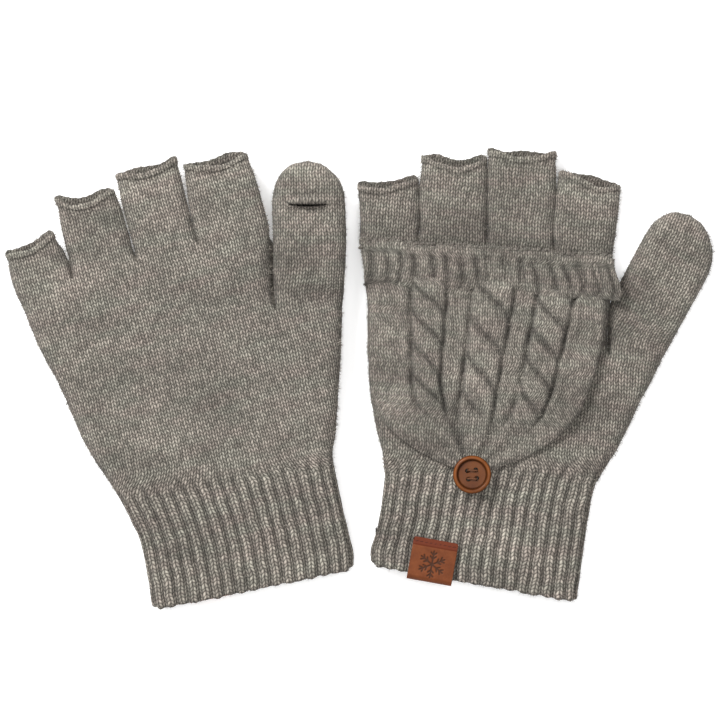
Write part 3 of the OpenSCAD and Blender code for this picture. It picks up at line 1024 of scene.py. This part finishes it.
def slit_binding(hand):
    """A rounded knit edge round the slit opening."""
    lower, upper, normals = hand.slit_rings
    loop = lower + upper[::-1]
    outward = normals + normals[::-1]
    rise = upper[len(upper) // 2] - lower[len(lower) // 2]
    rise /= np.linalg.norm(rise)
    free = 1.0 if hand.lay.up < 0 else LAID_ON
    points, norms = [], []
    sides = 8
    for i, p in enumerate(loop):
        before, after = loop[i - 1], loop[(i + 1) % len(loop)]
        way = after - before
        way = way / max(np.linalg.norm(way), 1e-6)
        up = outward[i] / np.linalg.norm(outward[i])
        side = np.cross(way, up)
        side /= max(np.linalg.norm(side), 1e-6)
        thick = LIP * (1 + 0.18 * math.sin(i * 2.1))
        if i >= len(lower):
            share = (i - len(lower) + 0.5) / len(upper)
            thick += UPPER_LIP * math.sin(math.pi * share) ** 0.6 * free
            p = p + rise * (thick - 0.4)
        ring = [
            p + up * (0.15 + thick * math.sin(a)) + side * thick * math.cos(a)
            for a in (TAU * j / sides for j in range(sides))
        ]
        points.append(np.array(ring))
        norms.append(np.array(ring) - p)
    points.append(points[0].copy())
    norms.append(norms[0])
    grid = [[(i * 0.35, k * 0.25) for k in range(sides + 1)] for i in range(len(points))]
    tube = Tube(points, norms, grid)
    return close_gaps(new_fabric(f"{hand.side}_slit_binding", tube))


# ---------------------------------------------------------------- flip cap

CAP_EDGE = [  # distance down from the seam, left reach, right reach, in mm
    (0, 47, 48.5), (16, 47.4, 47.8), (24.6, 45.6, 47.6), (34.5, 44.4, 47.5), (44.3, 43.7, 46),
    (54, 43, 43.6), (63, 41, 40.6), (69, 38.4, 36.2), (74, 34.2, 31.6), (78.5, 28.5, 26.2),
    (82.5, 21.5, 19.4), (85.5, 14.6, 12.8), (87.6, 8.6, 8), (88.8, 4, 4),
]
CABLES = (  # for each cable: places (v, middle, half width) down it, then its pitch and start
    ([(14, -22.4, 6.9), (23, -21.6, 6.6), (55, -20.6, 5.3), (66, -17.8, 5.4), (78, -11.5, 4.4),
      (88, -3, 2)], 12.0, 0.15),
    ([(14, 3.6, 8.0), (23, 3.1, 7.8), (55, 0.6, 6.6), (66, -0.4, 6.6), (78, -0.6, 5.2),
      (88, 0, 2)], 14.6, 0.55),
    ([(14, 28.2, 7.0), (23, 27.3, 6.8), (55, 22.6, 6.0), (66, 19.3, 5.7), (78, 11.8, 4.4),
      (88, 3, 2)], 11.6, 0.75),
)
CREASES = (  # run out from the button: way in radians, depth in mm, half width in radians
    (0.3, 0.7, 0.1), (0.75, 0.5, 0.12), (1.18, 1.0, 0.12), (2.0, 1.5, 0.13), (2.45, 0.6, 0.12),
    (2.8, 0.7, 0.09),
)
CAP_COLUMNS = 190  # vertices across one layer of the cap
CAP_STEP = 0.62  # mm between its rings
CAP_TOP, CAP_TIP = 1.2, 88.75  # mm down from the seam of its first and last ring
CAP_EDGE_TURN = 3.2  # mm over which the pouch turns under at its edge


def band_sway(u, v):
    """How far the band and its chain edge wander, in mm."""
    return 0.8 * waves((u, v * 0.4, 2.0), 12, 6.0)


def cable_relief(u, v, settings):
    """Height of the cables, furrows and ribs over the plain knit, in mm, and their tone: painted shade in
    the valleys between strands and in the furrows.
    """
    fade = (1 - ease((v - 60) / 16)) * ease((v - 13) / 4)
    rise, tone = 0.0, 1.0
    for places, pitch, start in CABLES:
        at = [p[0] for p in places]
        middle = np.interp(v, at, [p[1] for p in places])
        half = np.interp(v, at, [p[2] for p in places])
        off = (u - middle) / half
        if abs(off) < 1:
            turn = math.asin(off) / math.pi
            phase = (v / pitch - turn * 1.25 + start) % 1.0
            strand = min(1.0, 1.7 * math.sin(math.pi * phase)) ** 0.7
            arch = (1 - off * off) ** 0.4
            rise += settings.cable_height * (0.15 + 0.85 * strand) * arch
            # painted shade in the valleys between the strands
            tone *= mix(1.0, 0.42 + 0.66 * strand, fade)
        outside = (abs(off) - 1.06) * half
        uneven = 0.72 + 0.5 * waves((u * 0.6, v, middle), 7, 8.0)
        furrow = math.exp(-(outside / 0.8) ** 2) * uneven
        rise -= 1.25 * furrow
        # painted shade in the furrow
        tone *= 1 - 0.62 * furrow * fade
        rib = math.exp(-(((abs(off) - 1.0) * half - 2.9) / 1.35) ** 2)
        rise += 0.55 * rib
    return rise * fade, tone


class Cap:
    """The pouch that flips over the fingers, folded back and buttoned."""

    def __init__(self, side, settings):
        self.side = side
        self.settings = settings
        self.lay = Lay(side)
        low, high = node_box(f"{side}_cap_back")
        band_low, band_high = node_box(f"{side}_cap_front")
        up = self.lay.up
        self.under = low.z - self.lay.back if up > 0 else self.lay.back - high.z
        self.over = band_high.z - self.lay.back if up > 0 else self.lay.back - band_low.z
        self.reach = self.lay.reach

    def grid(self, rings):
        """Stitch counts for rings of this cap, which run down from its seam."""
        s = self.settings
        down = self.lay.place(0, 1, 0) - self.lay.place(0, 0, 0)
        return stitch_grid(rings, (-down.x, -down.y), s.wale * 0.94, s.course * 1.04)

    def radial_fold(self, u, v):
        """Creases that run out from the button, in mm, and the painted shade in them."""
        down = self.reach - v
        r = math.hypot(u, down)
        turn = math.atan2(down, u)
        strength = ease((r - 5) / 6) * (1 - ease((r - 13) / 22))
        total, tone = 0.0, 1.0
        for way, depth, width in CREASES:
            crease = math.exp(-((turn - way) / width) ** 2) * strength
            total -= depth * crease
            # painted shade in the crease
            tone *= 1 - 0.38 * depth * crease
            total += 0.35 * math.exp(-((turn - way - width * 2) / width) ** 2) * strength
        return total, max(0.4, tone)

    def front_height(self, v):
        """Height of the front layer, which comes down to the button."""
        dip = ease((v - 68) / (self.reach - 72)) * (self.over - self.under - 0.9)
        return self.over - dip

    def pouch(self):
        """Both layers of the cap in one closed knit tube, with cables and creases, and painted shade on its
        edges and under layer.
        """
        rows_v = np.arange(CAP_TOP, CAP_TIP, CAP_STEP)
        edge_v = [e[0] for e in CAP_EDGE]
        points, tones = [], []
        half = CAP_COLUMNS
        for v in rows_v:
            left = -np.interp(v, edge_v, [e[1] for e in CAP_EDGE])
            right = np.interp(v, edge_v, [e[2] for e in CAP_EDGE])
            width = (right - left) / 2
            fold = min(CAP_EDGE_TURN, width)
            turn = np.linspace(0, math.pi / 2, 10)
            x = np.concatenate([left + fold - fold * np.cos(turn), right - fold + fold * np.sin(turn)])
            z = np.concatenate([np.sin(turn), np.cos(turn)])
            length = np.concatenate([[0], np.cumsum(np.hypot(np.diff(x), np.diff(z) * 1.9))])
            at = np.linspace(0, length[-1], half + 1)
            x, z = np.interp(at, length, x), np.interp(at, length, z)
            ring, shades = [], []
            for u, rise in zip(x, z):
                top = self.front_height(v)
                middle = (top + self.under) / 2
                inner = rise ** 2
                h = middle + (top - middle) * rise
                cable, shade = cable_relief(u, v, self.settings)
                fold_h, fold_shade = self.radial_fold(u, v)
                soft = 0.45 * waves((u, v, self.lay.up), 15, 4.0) + 0.12 * waves((u, v, 0), 4, 2.0)
                h += inner * (cable + fold_h + soft)
                ring.append(self.lay.place(u, v, h))
                # painted shade towards the folded edges, painted light on the soft swells
                shades.append(shade * fold_shade * (0.62 + 0.38 * rise ** 0.7) * (1 + 0.2 * soft))
            for u, rise in zip(x[-2:0:-1], z[-2:0:-1]):
                top = self.front_height(v)
                middle = (top + self.under) / 2
                ring.append(self.lay.place(u, v, middle - (middle - self.under) * rise))
                # painted shade on the under layer
                shades.append(0.6)
            points.append(np.array([list(p) for p in ring]))
            tones.append(np.array(shades))
        tube = Tube(points, points, self.grid(points))
        tube.tones = tones
        return new_fabric(f"{self.side}_cap_pouch", tube, close_end=True)

    def band(self):
        """The ribbed band at the mouth, a closed pad with its ribs up and down."""
        s = self.settings
        low_v, high_v = 1.6, 18.4
        count = 220
        rows_v = np.arange(low_v, high_v + 0.01, 0.7)
        bottom = self.over - 1.6
        thick = 2.9
        points, tones = [], []
        for v in rows_v:
            share = (v - low_v) / (high_v - low_v)
            left = mix(-49.6, -46.6, share) + 0.5 * math.sin(share * 5)
            right = mix(49.8, 53.0, ease(share * 1.3)) - 0.4 * math.sin(share * 6)
            round_off = math.sqrt(max(0.02, 1 - abs(2 * share - 1) ** 5))
            p, n = flat_ring((left, 0, right, 0), 0, thick * round_off, count, edge=3)
            ring, shades = [], []
            for k in range(len(p)):
                u, h = p[k][0], p[k][2] - thick * round_off / 2
                front = max(0.0, n[k][2])
                column = k + 2.2 * waves((u, v * 0.5, 1.0), 9, 3.0)
                ribs = rib_relief(column, count / s.band_ribs, s.rib_depth * 0.85)
                depth = ribs * front * round_off * ease((share - 0.1) / 0.18)
                sway = band_sway(u, v)
                ring.append(self.lay.place(u, v + sway * 0.8, bottom + thick / 2 + h + depth + sway * 0.4))
                # painted shade in the rib furrows and towards the band's rounded edges
                shades.append(max(0.45, 1 + 0.5 * depth) * (0.7 + 0.3 * round_off))
            points.append(np.array([list(q) for q in ring]))
            tones.append(np.array(shades))
        tube = Tube(points, points, self.grid(points))
        tube.tones = tones
        return close_gaps(new_fabric(f"{self.side}_cap_band_knit", tube), merge=False)

    def chain(self):
        """The bind-off edge of the band: a chain of slanting stitches."""
        bm = bmesh.new()
        uv = bm.loops.layers.uv.new("Knit")
        tone = bm.verts.layers.float.new("tone")
        pitch = 2.3
        count = 43
        rng = random.Random(7)
        for i in range(count):
            u = -49.0 + i * pitch
            for leg, at, lift in ((-1, 0.2, 0.0), (1, 1.75, 0.35), (-1, 3.3, 0.15)):
                made = bmesh.ops.create_uvsphere(bm, u_segments=8, v_segments=6, radius=1.0)["verts"]
                size = Matrix.Diagonal((1.75 * rng.uniform(0.85, 1.1), 0.86, 0.9, 1.0))
                turn = Matrix.Rotation(leg * 0.45 + rng.uniform(-0.22, 0.22), 4, "Z")
                sway = band_sway(u, at)
                shade = rng.uniform(0.75, 1.05)
                nudge = rng.uniform(-0.25, 0.25)
                for v in made:
                    local = turn @ size @ v.co
                    v[tone] = shade
                    spot = self.lay.place(
                        u + local.x + nudge,
                        0.9 + at + local.y + sway * 0.8 + nudge,
                        self.over - 0.55 + lift + local.z + sway * 0.4,
                    )
                    v.co = spot * MM
        for face in bm.faces:
            for loop in face.loops:
                loop[uv].uv = (loop.vert.co.x * 700, loop.vert.co.y * 850)
        return finish_mesh(f"{self.side}_cap_chain_edge", bm)


# ---------------------------------------------------------------- button and label

LABEL_SHIFT = {"left": 0.0, "right": 2.4}  # mm up from the hem
LABEL_TURN = {"left": math.radians(-10.2), "right": math.radians(11.9)}
LEATHER = 1.0  # mm
STRIP = 3.2  # mm, height of the stitched strip at the label's top
MARK_SIZE = 1.25  # scale of the snowflake
HOLE_RADIUS, HOLE_PLACE = 0.92, 1.65  # mm, the button's holes and how far off its middle they are
MARK_HEIGHT = 0.42  # share of the label's height at which the mark's middle lies
LABEL_GROWN = (1.2, 0.4)  # mm added along the label's left end and at the hem


def turned_profile(profile, steps=72):
    """Spins a profile of (radius, height) in mm about the z axis."""
    bm = bmesh.new()
    verts = [bm.verts.new((r * MM, 0, z * MM)) for r, z in profile]
    edges = [bm.edges.new(pair) for pair in zip(verts, verts[1:])]
    bmesh.ops.spin(
        bm, geom=verts + edges, cent=(0, 0, 0), axis=(0, 0, 1), angle=TAU, steps=steps, use_merge=True
    )
    bmesh.ops.remove_doubles(bm, verts=bm.verts, dist=1e-7)
    return bm


def make_button(side):
    """A rimmed wooden dish turned to shape, with four holes cut through, a painted highlight on its rim and
    painted shade in its groove.
    """
    lay = Lay(side)
    low, high = node_box(f"{side}_button")
    radius = (high.x - low.x) / 2
    thick = high.z - low.z
    profile = [
        (0.0, 0.0), (3.0, 0.0), (radius - 1.6, 0.1), (radius - 0.5, 0.55), (radius - 0.08, 1.2),
        (radius, 1.7), (radius - 0.12, 2.35), (radius - 0.55, 2.85), (radius - 1.1, thick),
        (radius - 1.5, 2.8), (radius - 1.75, 2.2), (radius - 1.95, 1.7), (radius - 2.15, 1.85),
        (radius - 2.5, 1.9), (3.4, 1.82), (0.0, 1.8),
    ]
    bm = turned_profile(profile)
    body = finish_mesh(f"{side}_wood_button", bm)
    cut = bmesh.new()
    for x in (-1, 1):
        for y in (-1, 1):
            spot = Matrix.Translation((x * HOLE_PLACE * MM, y * HOLE_PLACE * MM, 1.2 * MM))
            bmesh.ops.create_cone(
                cut, cap_ends=True, segments=20, depth=6 * MM, matrix=spot,
                radius1=HOLE_RADIUS * MM, radius2=HOLE_RADIUS * MM,
            )
    cutter = finish_mesh(f"{side}_hole_cutter", cut, smooth=False)
    modifier = body.modifiers.new("Holes", "BOOLEAN")
    modifier.operation = "DIFFERENCE"
    modifier.solver = "EXACT"
    modifier.object = cutter
    bevel = body.modifiers.new("Soft edges", "BEVEL")
    bevel.width = 0.12 * MM
    bevel.segments = 2
    bevel.angle_limit = math.radians(50)
    graph = bpy.context.evaluated_depsgraph_get()
    mesh = bpy.data.meshes.new_from_object(body.evaluated_get(graph))
    body.modifiers.clear()
    body.data = mesh
    bpy.data.objects.remove(cutter)
    rim_highlight = mesh.attributes.new("rim_highlight", "FLOAT", "POINT")
    groove = mesh.attributes.new("groove", "FLOAT", "POINT")
    for v, light, dark in zip(mesh.vertices, rim_highlight.data, groove.data):
        r = v.co.xy.length / MM
        uneven = 0.5 + 0.5 * waves(v.co / MM, 2.5, 5.0)
        # painted highlight along the rim, then painted shade in the groove inside it
        light.value = max(0.0, 1 - abs(r - (radius - 0.75)) / 0.55) * (0.3 + 0.6 * uneven)
        dark.value = math.exp(-((r - (radius - 1.9)) / 0.3) ** 2) * 0.75
    turn = Matrix.Rotation(0.12, 4, "Z")
    flip = Matrix.Diagonal((1, 1, lay.up, 1))
    base = low.z if lay.up > 0 else high.z
    centre = Vector((lay.button.x, lay.button.y, base)) * MM
    mesh.transform(Matrix.Translation(centre) @ flip @ turn)
    if lay.up < 0:
        mesh.flip_normals()
    for polygon in mesh.polygons:
        polygon.use_smooth = True
    return body


def make_loop(side):
    """A two-ply elastic cord in a ring at the tip of the cap."""
    low, high = node_box(f"{side}_button_loop")
    thin = (high.z - low.z) / 2
    reach = (high.x - low.x) / 2 - thin
    sides = 12
    profile = [
        (reach + thin * math.cos(TAU * i / sides), thin * math.sin(TAU * i / sides))
        for i in range(sides + 1)
    ]
    bm = turned_profile(profile, 96)
    for v in bm.verts:
        round_it = math.atan2(v.co.y, v.co.x)
        spine = Vector((math.cos(round_it), math.sin(round_it), 0)) * reach * MM
        about = math.atan2(v.co.z, v.co.xy.length - reach * MM)
        v.co = spine + (v.co - spine) * (0.86 + 0.14 * math.cos(2 * about + 22 * round_it))
    bm.transform(Matrix.Translation((low + high) / 2 * MM))
    return finish_mesh(f"{side}_elastic_loop", bm)


def star_distance(x, y):
    """Distance in mm from a plain six-armed snowflake drawn in lines about the origin."""
    best = 99.0
    for arm in range(6):
        turn = arm * math.pi / 3 + math.pi / 6
        a = x * math.cos(turn) + y * math.sin(turn)
        b = abs(-x * math.sin(turn) + y * math.cos(turn))
        clamp = min(max(a, 0.0), 4.2)
        best = min(best, math.hypot(a - clamp, b))
        for start in (1.7, 2.9):
            t = min(max(((a - start) + b) / 2, 0.0), 0.85)
            best = min(best, math.hypot(a - start - t, b - t))
    return best


def make_label(side):
    """A leather strip folded round the hem, with a pressed snowflake and a top strip."""
    lay = Lay(side)
    node = frame["nodes"][f"{side}_label"]
    corners = np.array([v.co for v in node.data.vertices]) / MM
    turn = LABEL_TURN[side]
    along = np.array([math.cos(turn), math.sin(turn)])
    up_way = np.array([-along[1], along[0]])
    flat = corners[:, :2]
    u0, u1 = (flat @ along).min(), (flat @ along).max()
    v0, v1 = (flat @ up_way).min(), (flat @ up_way).max()
    u0 -= LABEL_GROWN[0]
    v0 -= LABEL_GROWN[1]
    low_z, high_z = corners[:, 2].min(), corners[:, 2].max()
    outer = high_z if lay.up > 0 else low_z
    inner = low_z if lay.up > 0 else high_z
    width, height = u1 - u0, v1 - v0
    across = 84
    bend = (high_z - low_z) / 2
    path = []
    for i in range(70):
        path.append((height - i * (height - bend * 0.8) / 69, 0.0))
    for i in range(1, 13):
        a = math.pi * i / 13
        path.append((bend * 0.8 * (1 - math.sin(a)), bend * (1 - math.cos(a))))
    for i in range(1, 10):
        path.append((bend * 0.8 + i * 0.7, 2 * bend))
    bm = bmesh.new()
    mark = bm.verts.layers.float.new("mark")
    strip = bm.verts.layers.float.new("strip")
    first = [bm.verts.new((0, 0, 0)) for _ in range(across + 1)]
    edges = [bm.edges.new(pair) for pair in zip(first, first[1:])]
    rings = [first]
    for _ in path[1:]:
        edges, following = extrude_row(bm, edges, rings[-1])
        rings.append(following)
    uv = bm.loops.layers.uv.new("Knit")
    for (v_at, depth), ring in zip(path, rings):
        for k, vert in enumerate(ring):
            u = width * k / across
            corner = 1.0
            du, dv = min(u, width - u), height - v_at
            if du < corner and dv < corner and depth == 0:
                shrink = corner - math.sqrt(max(0, corner ** 2 - (corner - du) ** 2))
                v_here = v_at - shrink * (1 - dv / corner) ** 2
            else:
                v_here = v_at
            on_face = depth == 0
            x, y = u - width / 2, v_at - height * MARK_HEIGHT
            gap = star_distance(x / MARK_SIZE, y / MARK_SIZE) * MARK_SIZE if on_face else 9
            press = 1 - ease((gap - 0.2) / 0.22)
            top = ease((v_at - (height - STRIP - 0.1)) / 0.3) if on_face else 0.0
            groove = math.exp(-((v_at - (height - STRIP)) / 0.28) ** 2) if on_face else 0.0
            puff = 0.16 * (1 - (2 * u / width - 1) ** 8) if on_face else 0.0
            h = -0.28 * press - 0.3 * groove + puff
            vert[mark] = press
            vert[strip] = top * 0.8
            flat_at = along * (u0 + u) + up_way * (v0 + v_here + LABEL_SHIFT[side])
            z = mix(outer, inner, depth / (2 * bend))
            vert.co = Vector((flat_at[0], flat_at[1], z + lay.up * h)) * MM
    for face in bm.faces:
        for loop in face.loops:
            loop[uv].uv = (loop.vert.co.x * 100, loop.vert.co.y * 100)
    obj = finish_mesh(f"{side}_leather_label", bm)
    facing = sum(p.normal.z * p.area for p in obj.data.polygons if abs(p.center.z / MM - outer) < 0.6)
    if facing * lay.up < 0:
        obj.data.flip_normals()
    thick = obj.modifiers.new("Leather thickness", "SOLIDIFY")
    thick.thickness = LEATHER * MM
    thick.offset = -1.0
    return obj, (u0, u1, v1, along, up_way, outer)


def label_stitches(side, plan):
    """A row of short stitches through the label's top strip."""
    u0, u1, v1, along, up_way, outer = plan
    lay = Lay(side)
    bm = bmesh.new()
    count = 9
    inset = 1.5
    turn = Matrix.Rotation(LABEL_TURN[side] + 0.12, 4, "Z")
    size = Matrix.Diagonal((0.72, 0.2, 0.2, 1.0))
    for i in range(count):
        u = mix(u0 + inset, u1 - inset, i / (count - 1))
        at = along * u + up_way * (v1 - 1.6 + LABEL_SHIFT[side])
        made = bmesh.ops.create_uvsphere(bm, u_segments=10, v_segments=6, radius=1.0)["verts"]
        for v in made:
            local = turn @ size @ v.co
            z = outer + lay.up * (0.16 + abs(local.z) * 0.9 - 0.1)
            v.co = Vector((at[0] + local.x, at[1] + local.y, z)) * MM
    return finish_mesh(f"{side}_label_stitching", bm)


# ---------------------------------------------------------------- add-on


class MittenSettings(bpy.types.PropertyGroup):
    """Colours of the yarn, wood and leather, and the sizes of the knitting"""

    mauve: FloatVectorProperty(
        name="Mauve grey", description="First colour of the marled yarn",
        subtype="COLOR", size=3, default=(0.174, 0.149, 0.129), min=0, max=1)
    olive: FloatVectorProperty(
        name="Olive grey", description="Second colour of the marled yarn",
        subtype="COLOR", size=3, default=(0.163, 0.155, 0.130), min=0, max=1)
    halo: FloatVectorProperty(
        name="Fibre tips", description="Colour of the brushed fibres that catch the light",
        subtype="COLOR", size=3, default=(0.29, 0.266, 0.232), min=0, max=1)
    wood: FloatVectorProperty(
        name="Wood", description="Colour of the button", subtype="COLOR", size=3,
        default=(0.088, 0.024, 0.005), min=0, max=1)
    wood_dark: FloatVectorProperty(
        name="Wood grain", description="Dark lines of the button", subtype="COLOR", size=3,
        default=(0.05, 0.012, 0.003), min=0, max=1)
    # pale wood, at about twice its strength, also gives the painted highlight on the button's rim
    wood_pale: FloatVectorProperty(
        name="Pale wood", description="Worn patches of the button", subtype="COLOR", size=3,
        default=(0.135, 0.042, 0.009), min=0, max=1)
    leather: FloatVectorProperty(
        name="Leather", description="Colour of the label", subtype="COLOR", size=3,
        default=(0.185, 0.052, 0.015), min=0, max=1)
    leather_dark: FloatVectorProperty(
        name="Leather shade", description="Darker patches of the label", subtype="COLOR", size=3,
        default=(0.11, 0.028, 0.008), min=0, max=1)
    leather_red: FloatVectorProperty(
        name="Leather strip", description="Colour of the stitched strip", subtype="COLOR", size=3,
        default=(0.11, 0.018, 0.007), min=0, max=1)
    pressed: FloatVectorProperty(
        name="Pressed mark", description="Colour of the pressed snowflake", subtype="COLOR", size=3,
        default=(0.035, 0.015, 0.008), min=0, max=1)
    ribs: IntProperty(
        name="Cuff ribs", description="Ribs across one layer of the cuff", default=18, min=8, max=24)
    band_ribs: IntProperty(
        name="Band ribs", description="Ribs across the cap's band", default=17, min=8, max=28)
    wale: FloatProperty(
        name="Wale width", description="Width of one stitch, in mm", default=2.14, min=1, max=4)
    course: FloatProperty(
        name="Course height", description="Height of one stitch, in mm", default=1.52, min=0.6, max=3)
    rib_depth: FloatProperty(
        name="Rib depth", description="Depth of the rib furrows, in mm", default=1.5, min=0, max=2.5)
    cable_height: FloatProperty(
        name="Cable height", description="Relief of the cables, in mm", default=2.5, min=0, max=3)


def shared(name, maker, *values):
    """The named material, made once."""
    found = bpy.data.materials.get(name)
    return found or maker(name, *values)


class MITTENS_OT_hands(bpy.types.Operator):
    """Knit the cuffs, palms, half fingers and thumbs"""

    bl_idname = "mittens.hands"
    bl_label = "Knit Hands"

    def execute(self, context):
        s = context.scene.mitten_settings
        plain = shared("marled_knit", knit_material, s)
        for seed, side in enumerate(SIDES):
            hand = Hand(side, s)
            body = f"{side}_hand"
            cuff = hand.cuff()
            finish_piece(cuff, plain, body, "rib_knit", f"{side}_cuff", f"{side}_cuff_hem")
            fuzzy(cuff, plain, body, "rib_knit", seed + 10)
            palm = finish_piece(hand.palm(), plain, body, "plain_knit", f"{side}_lower_palm")
            fuzzy(palm, plain, body, "plain_knit", seed + 20)
            knuckles = finish_piece(hand.upper_palm(), plain, body, "plain_knit", f"{side}_upper_palm")
            fuzzy(knuckles, plain, body, "plain_knit", seed + 30)
            for which, name in enumerate(FINGERS):
                finger = finish_piece(hand.finger(which), plain, body, "plain_knit", f"{side}_{name}_tube")
                fuzzy(finger, plain, body, "plain_knit", seed + 40 + which * 2, 0.6, 2.2)
                if which == 0:
                    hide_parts(f"{side}_finger_rims")
            thumb = hand.thumb()
            binding = slit_binding(hand)
            hairs = fuzz(thumb, 0.4, seed + 60)
            for piece, slot, nodes in (
                (thumb, "plain_knit", ("thumb_tube", "thumb_hood")),
                (binding, "rib_knit", ("slit_lower_lip", "slit_upper_lip")),
                (hairs, "plain_knit", ()),
            ):
                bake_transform(piece)
                finish_piece(piece, plain, None, slot, *(f"{side}_{n}" for n in nodes))
        return {"FINISHED"}


class MITTENS_OT_caps(bpy.types.Operator):
    """Knit the cabled flip caps with their bands, chain edges and elastic loops"""

    bl_idname = "mittens.caps"
    bl_label = "Knit Caps"

    def execute(self, context):
        s = context.scene.mitten_settings
        brushed = shared("brushed_knit", knit_material, s, 0.42, 0.8, 1.0)
        elastic = shared("elastic_thread", thread_material, ELASTIC)
        for seed, side in enumerate(SIDES):
            cap = Cap(side, s)
            pouch = cap.pouch()
            hairs = fuzz(pouch, 0.16, seed + 70)
            for piece, material, slot, nodes in (
                (pouch, brushed, "cable_knit", ("cap_back", "cap_front", "cap_cables")),
                (hairs, brushed, "cable_knit", ()),
                (make_loop(side), elastic, "elastic_loop", ("button_loop",)),
            ):
                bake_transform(piece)
                finish_piece(piece, material, None, slot, *(f"{side}_{n}" for n in nodes))
            body = f"{side}_cap_palm"
            band = finish_piece(cap.band(), brushed, body, "rib_knit", f"{side}_cap_band")
            fuzzy(band, brushed, body, "rib_knit", seed + 80, 0.5)
            chain = finish_piece(cap.chain(), brushed, body, "rib_knit", f"{side}_cap_band_edge")
            fuzzy(chain, brushed, body, "rib_knit", seed + 90, 0.25)
        return {"FINISHED"}


class MITTENS_OT_buttons(bpy.types.Operator):
    """Turn the wooden buttons and finish their threads and the knuckle stitches"""

    bl_idname = "mittens.buttons"
    bl_label = "Make Buttons"

    def execute(self, context):
        s = context.scene.mitten_settings
        wood = shared("waxed_wood", wood_material, s)
        thread = shared("dark_thread", thread_material, BUTTON_THREAD)
        elastic = shared("elastic_thread", thread_material, ELASTIC)
        for side in SIDES:
            finish_piece(make_button(side), wood, f"{side}_fastener", "button_wood", f"{side}_button")
            for node, material in (("button_thread", thread), ("knuckle_stitches", elastic)):
                materials = frame["nodes"][f"{side}_{node}"].data.materials
                materials.clear()
                materials.append(material)
        return {"FINISHED"}


class MITTENS_OT_labels(bpy.types.Operator):
    """Fold the leather labels over the hems and stitch them"""

    bl_idname = "mittens.labels"
    bl_label = "Make Labels"

    def execute(self, context):
        s = context.scene.mitten_settings
        leather = shared("rust_leather", leather_material, s)
        thread = shared("label_thread", thread_material, LABEL_THREAD)
        for side in SIDES:
            label, plan = make_label(side)
            finish_piece(label, leather, f"{side}_hand", "label_leather", f"{side}_label")
            finish_piece(
                label_stitches(side, plan), thread, f"{side}_hand", "sewing_thread",
                f"{side}_label_stitches",
            )
        return {"FINISHED"}


LIGHTS = (  # name, place in metres, watts, size in metres
    ("key_light", (-0.8, 0.9, 1.1), 34.0, 0.6),
    ("top_light", (0.3, -0.2, 1.8), 20.0, 1.6),
)
EYE = (0.0004, 0.0075, 3.0)  # the camera's place, in metres
VIEW_WIDTH = 0.2827  # metres of floor across the camera's view
FLOOR_DROP = 0.0005  # metres of air under the mittens


class MITTENS_OT_stage(bpy.types.Operator):
    """Lay out the pale floor, the soft lights and the camera overhead"""

    bl_idname = "mittens.stage"
    bl_label = "Set Stage"

    def execute(self, context):
        scene = context.scene
        bm = bmesh.new()
        bmesh.ops.create_grid(bm, x_segments=8, y_segments=8, size=3.0)
        floor = finish_mesh("floor", bm)
        floor.data.materials.append(floor_material("floor_paper"))
        floor.data.transform(Matrix.Translation((0, 0, -FLOOR_DROP)))
        world = bpy.data.worlds.new("soft_room")
        world.use_nodes = True
        background = world.node_tree.nodes["Background"]
        background.inputs["Color"].default_value = (1, 1, 1, 1)
        background.inputs["Strength"].default_value = 0.4
        scene.world = world
        for name, spot, power, size in LIGHTS:
            light = bpy.data.lights.new(name, "AREA")
            light.energy = power
            light.size = size
            lamp = bpy.data.objects.new(name, light)
            lamp.location = spot
            lamp.rotation_euler = (-Vector(spot)).to_track_quat("-Z", "Y").to_euler()
            scene.collection.objects.link(lamp)
        camera = bpy.data.cameras.new("overhead")
        camera.sensor_width = 36.0
        camera.lens = camera.sensor_width * EYE[2] / VIEW_WIDTH
        camera.clip_end = 20.0
        eye = bpy.data.objects.new("overhead", camera)
        eye.location = EYE
        scene.collection.objects.link(eye)
        scene.camera = eye
        scene.view_settings.view_transform = "Standard"
        return {"FINISHED"}


class MITTENS_PT_panel(bpy.types.Panel):
    """Buttons for each group of pieces"""

    bl_idname = "MITTENS_PT_panel"
    bl_label = "Mittens"
    bl_space_type = "VIEW_3D"
    bl_region_type = "UI"
    bl_category = "Mittens"

    def draw(self, context):
        for operator in OPERATORS:
            self.layout.operator(operator.bl_idname)


OPERATORS = (MITTENS_OT_hands, MITTENS_OT_caps, MITTENS_OT_buttons, MITTENS_OT_labels, MITTENS_OT_stage)
CLASSES = (MittenSettings, *OPERATORS, MITTENS_PT_panel)


def register():
    for cls in CLASSES:
        bpy.utils.register_class(cls)
    bpy.types.Scene.mitten_settings = PointerProperty(type=MittenSettings)


def unregister():
    del bpy.types.Scene.mitten_settings
    for cls in reversed(CLASSES):
        bpy.utils.unregister_class(cls)


def main():
    """Makes every group of pieces in order."""
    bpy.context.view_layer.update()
    register()
    for operator in OPERATORS:
        group, name = operator.bl_idname.split(".")
        getattr(getattr(bpy.ops, group), name)()


if __name__ == "__main__":
    main()
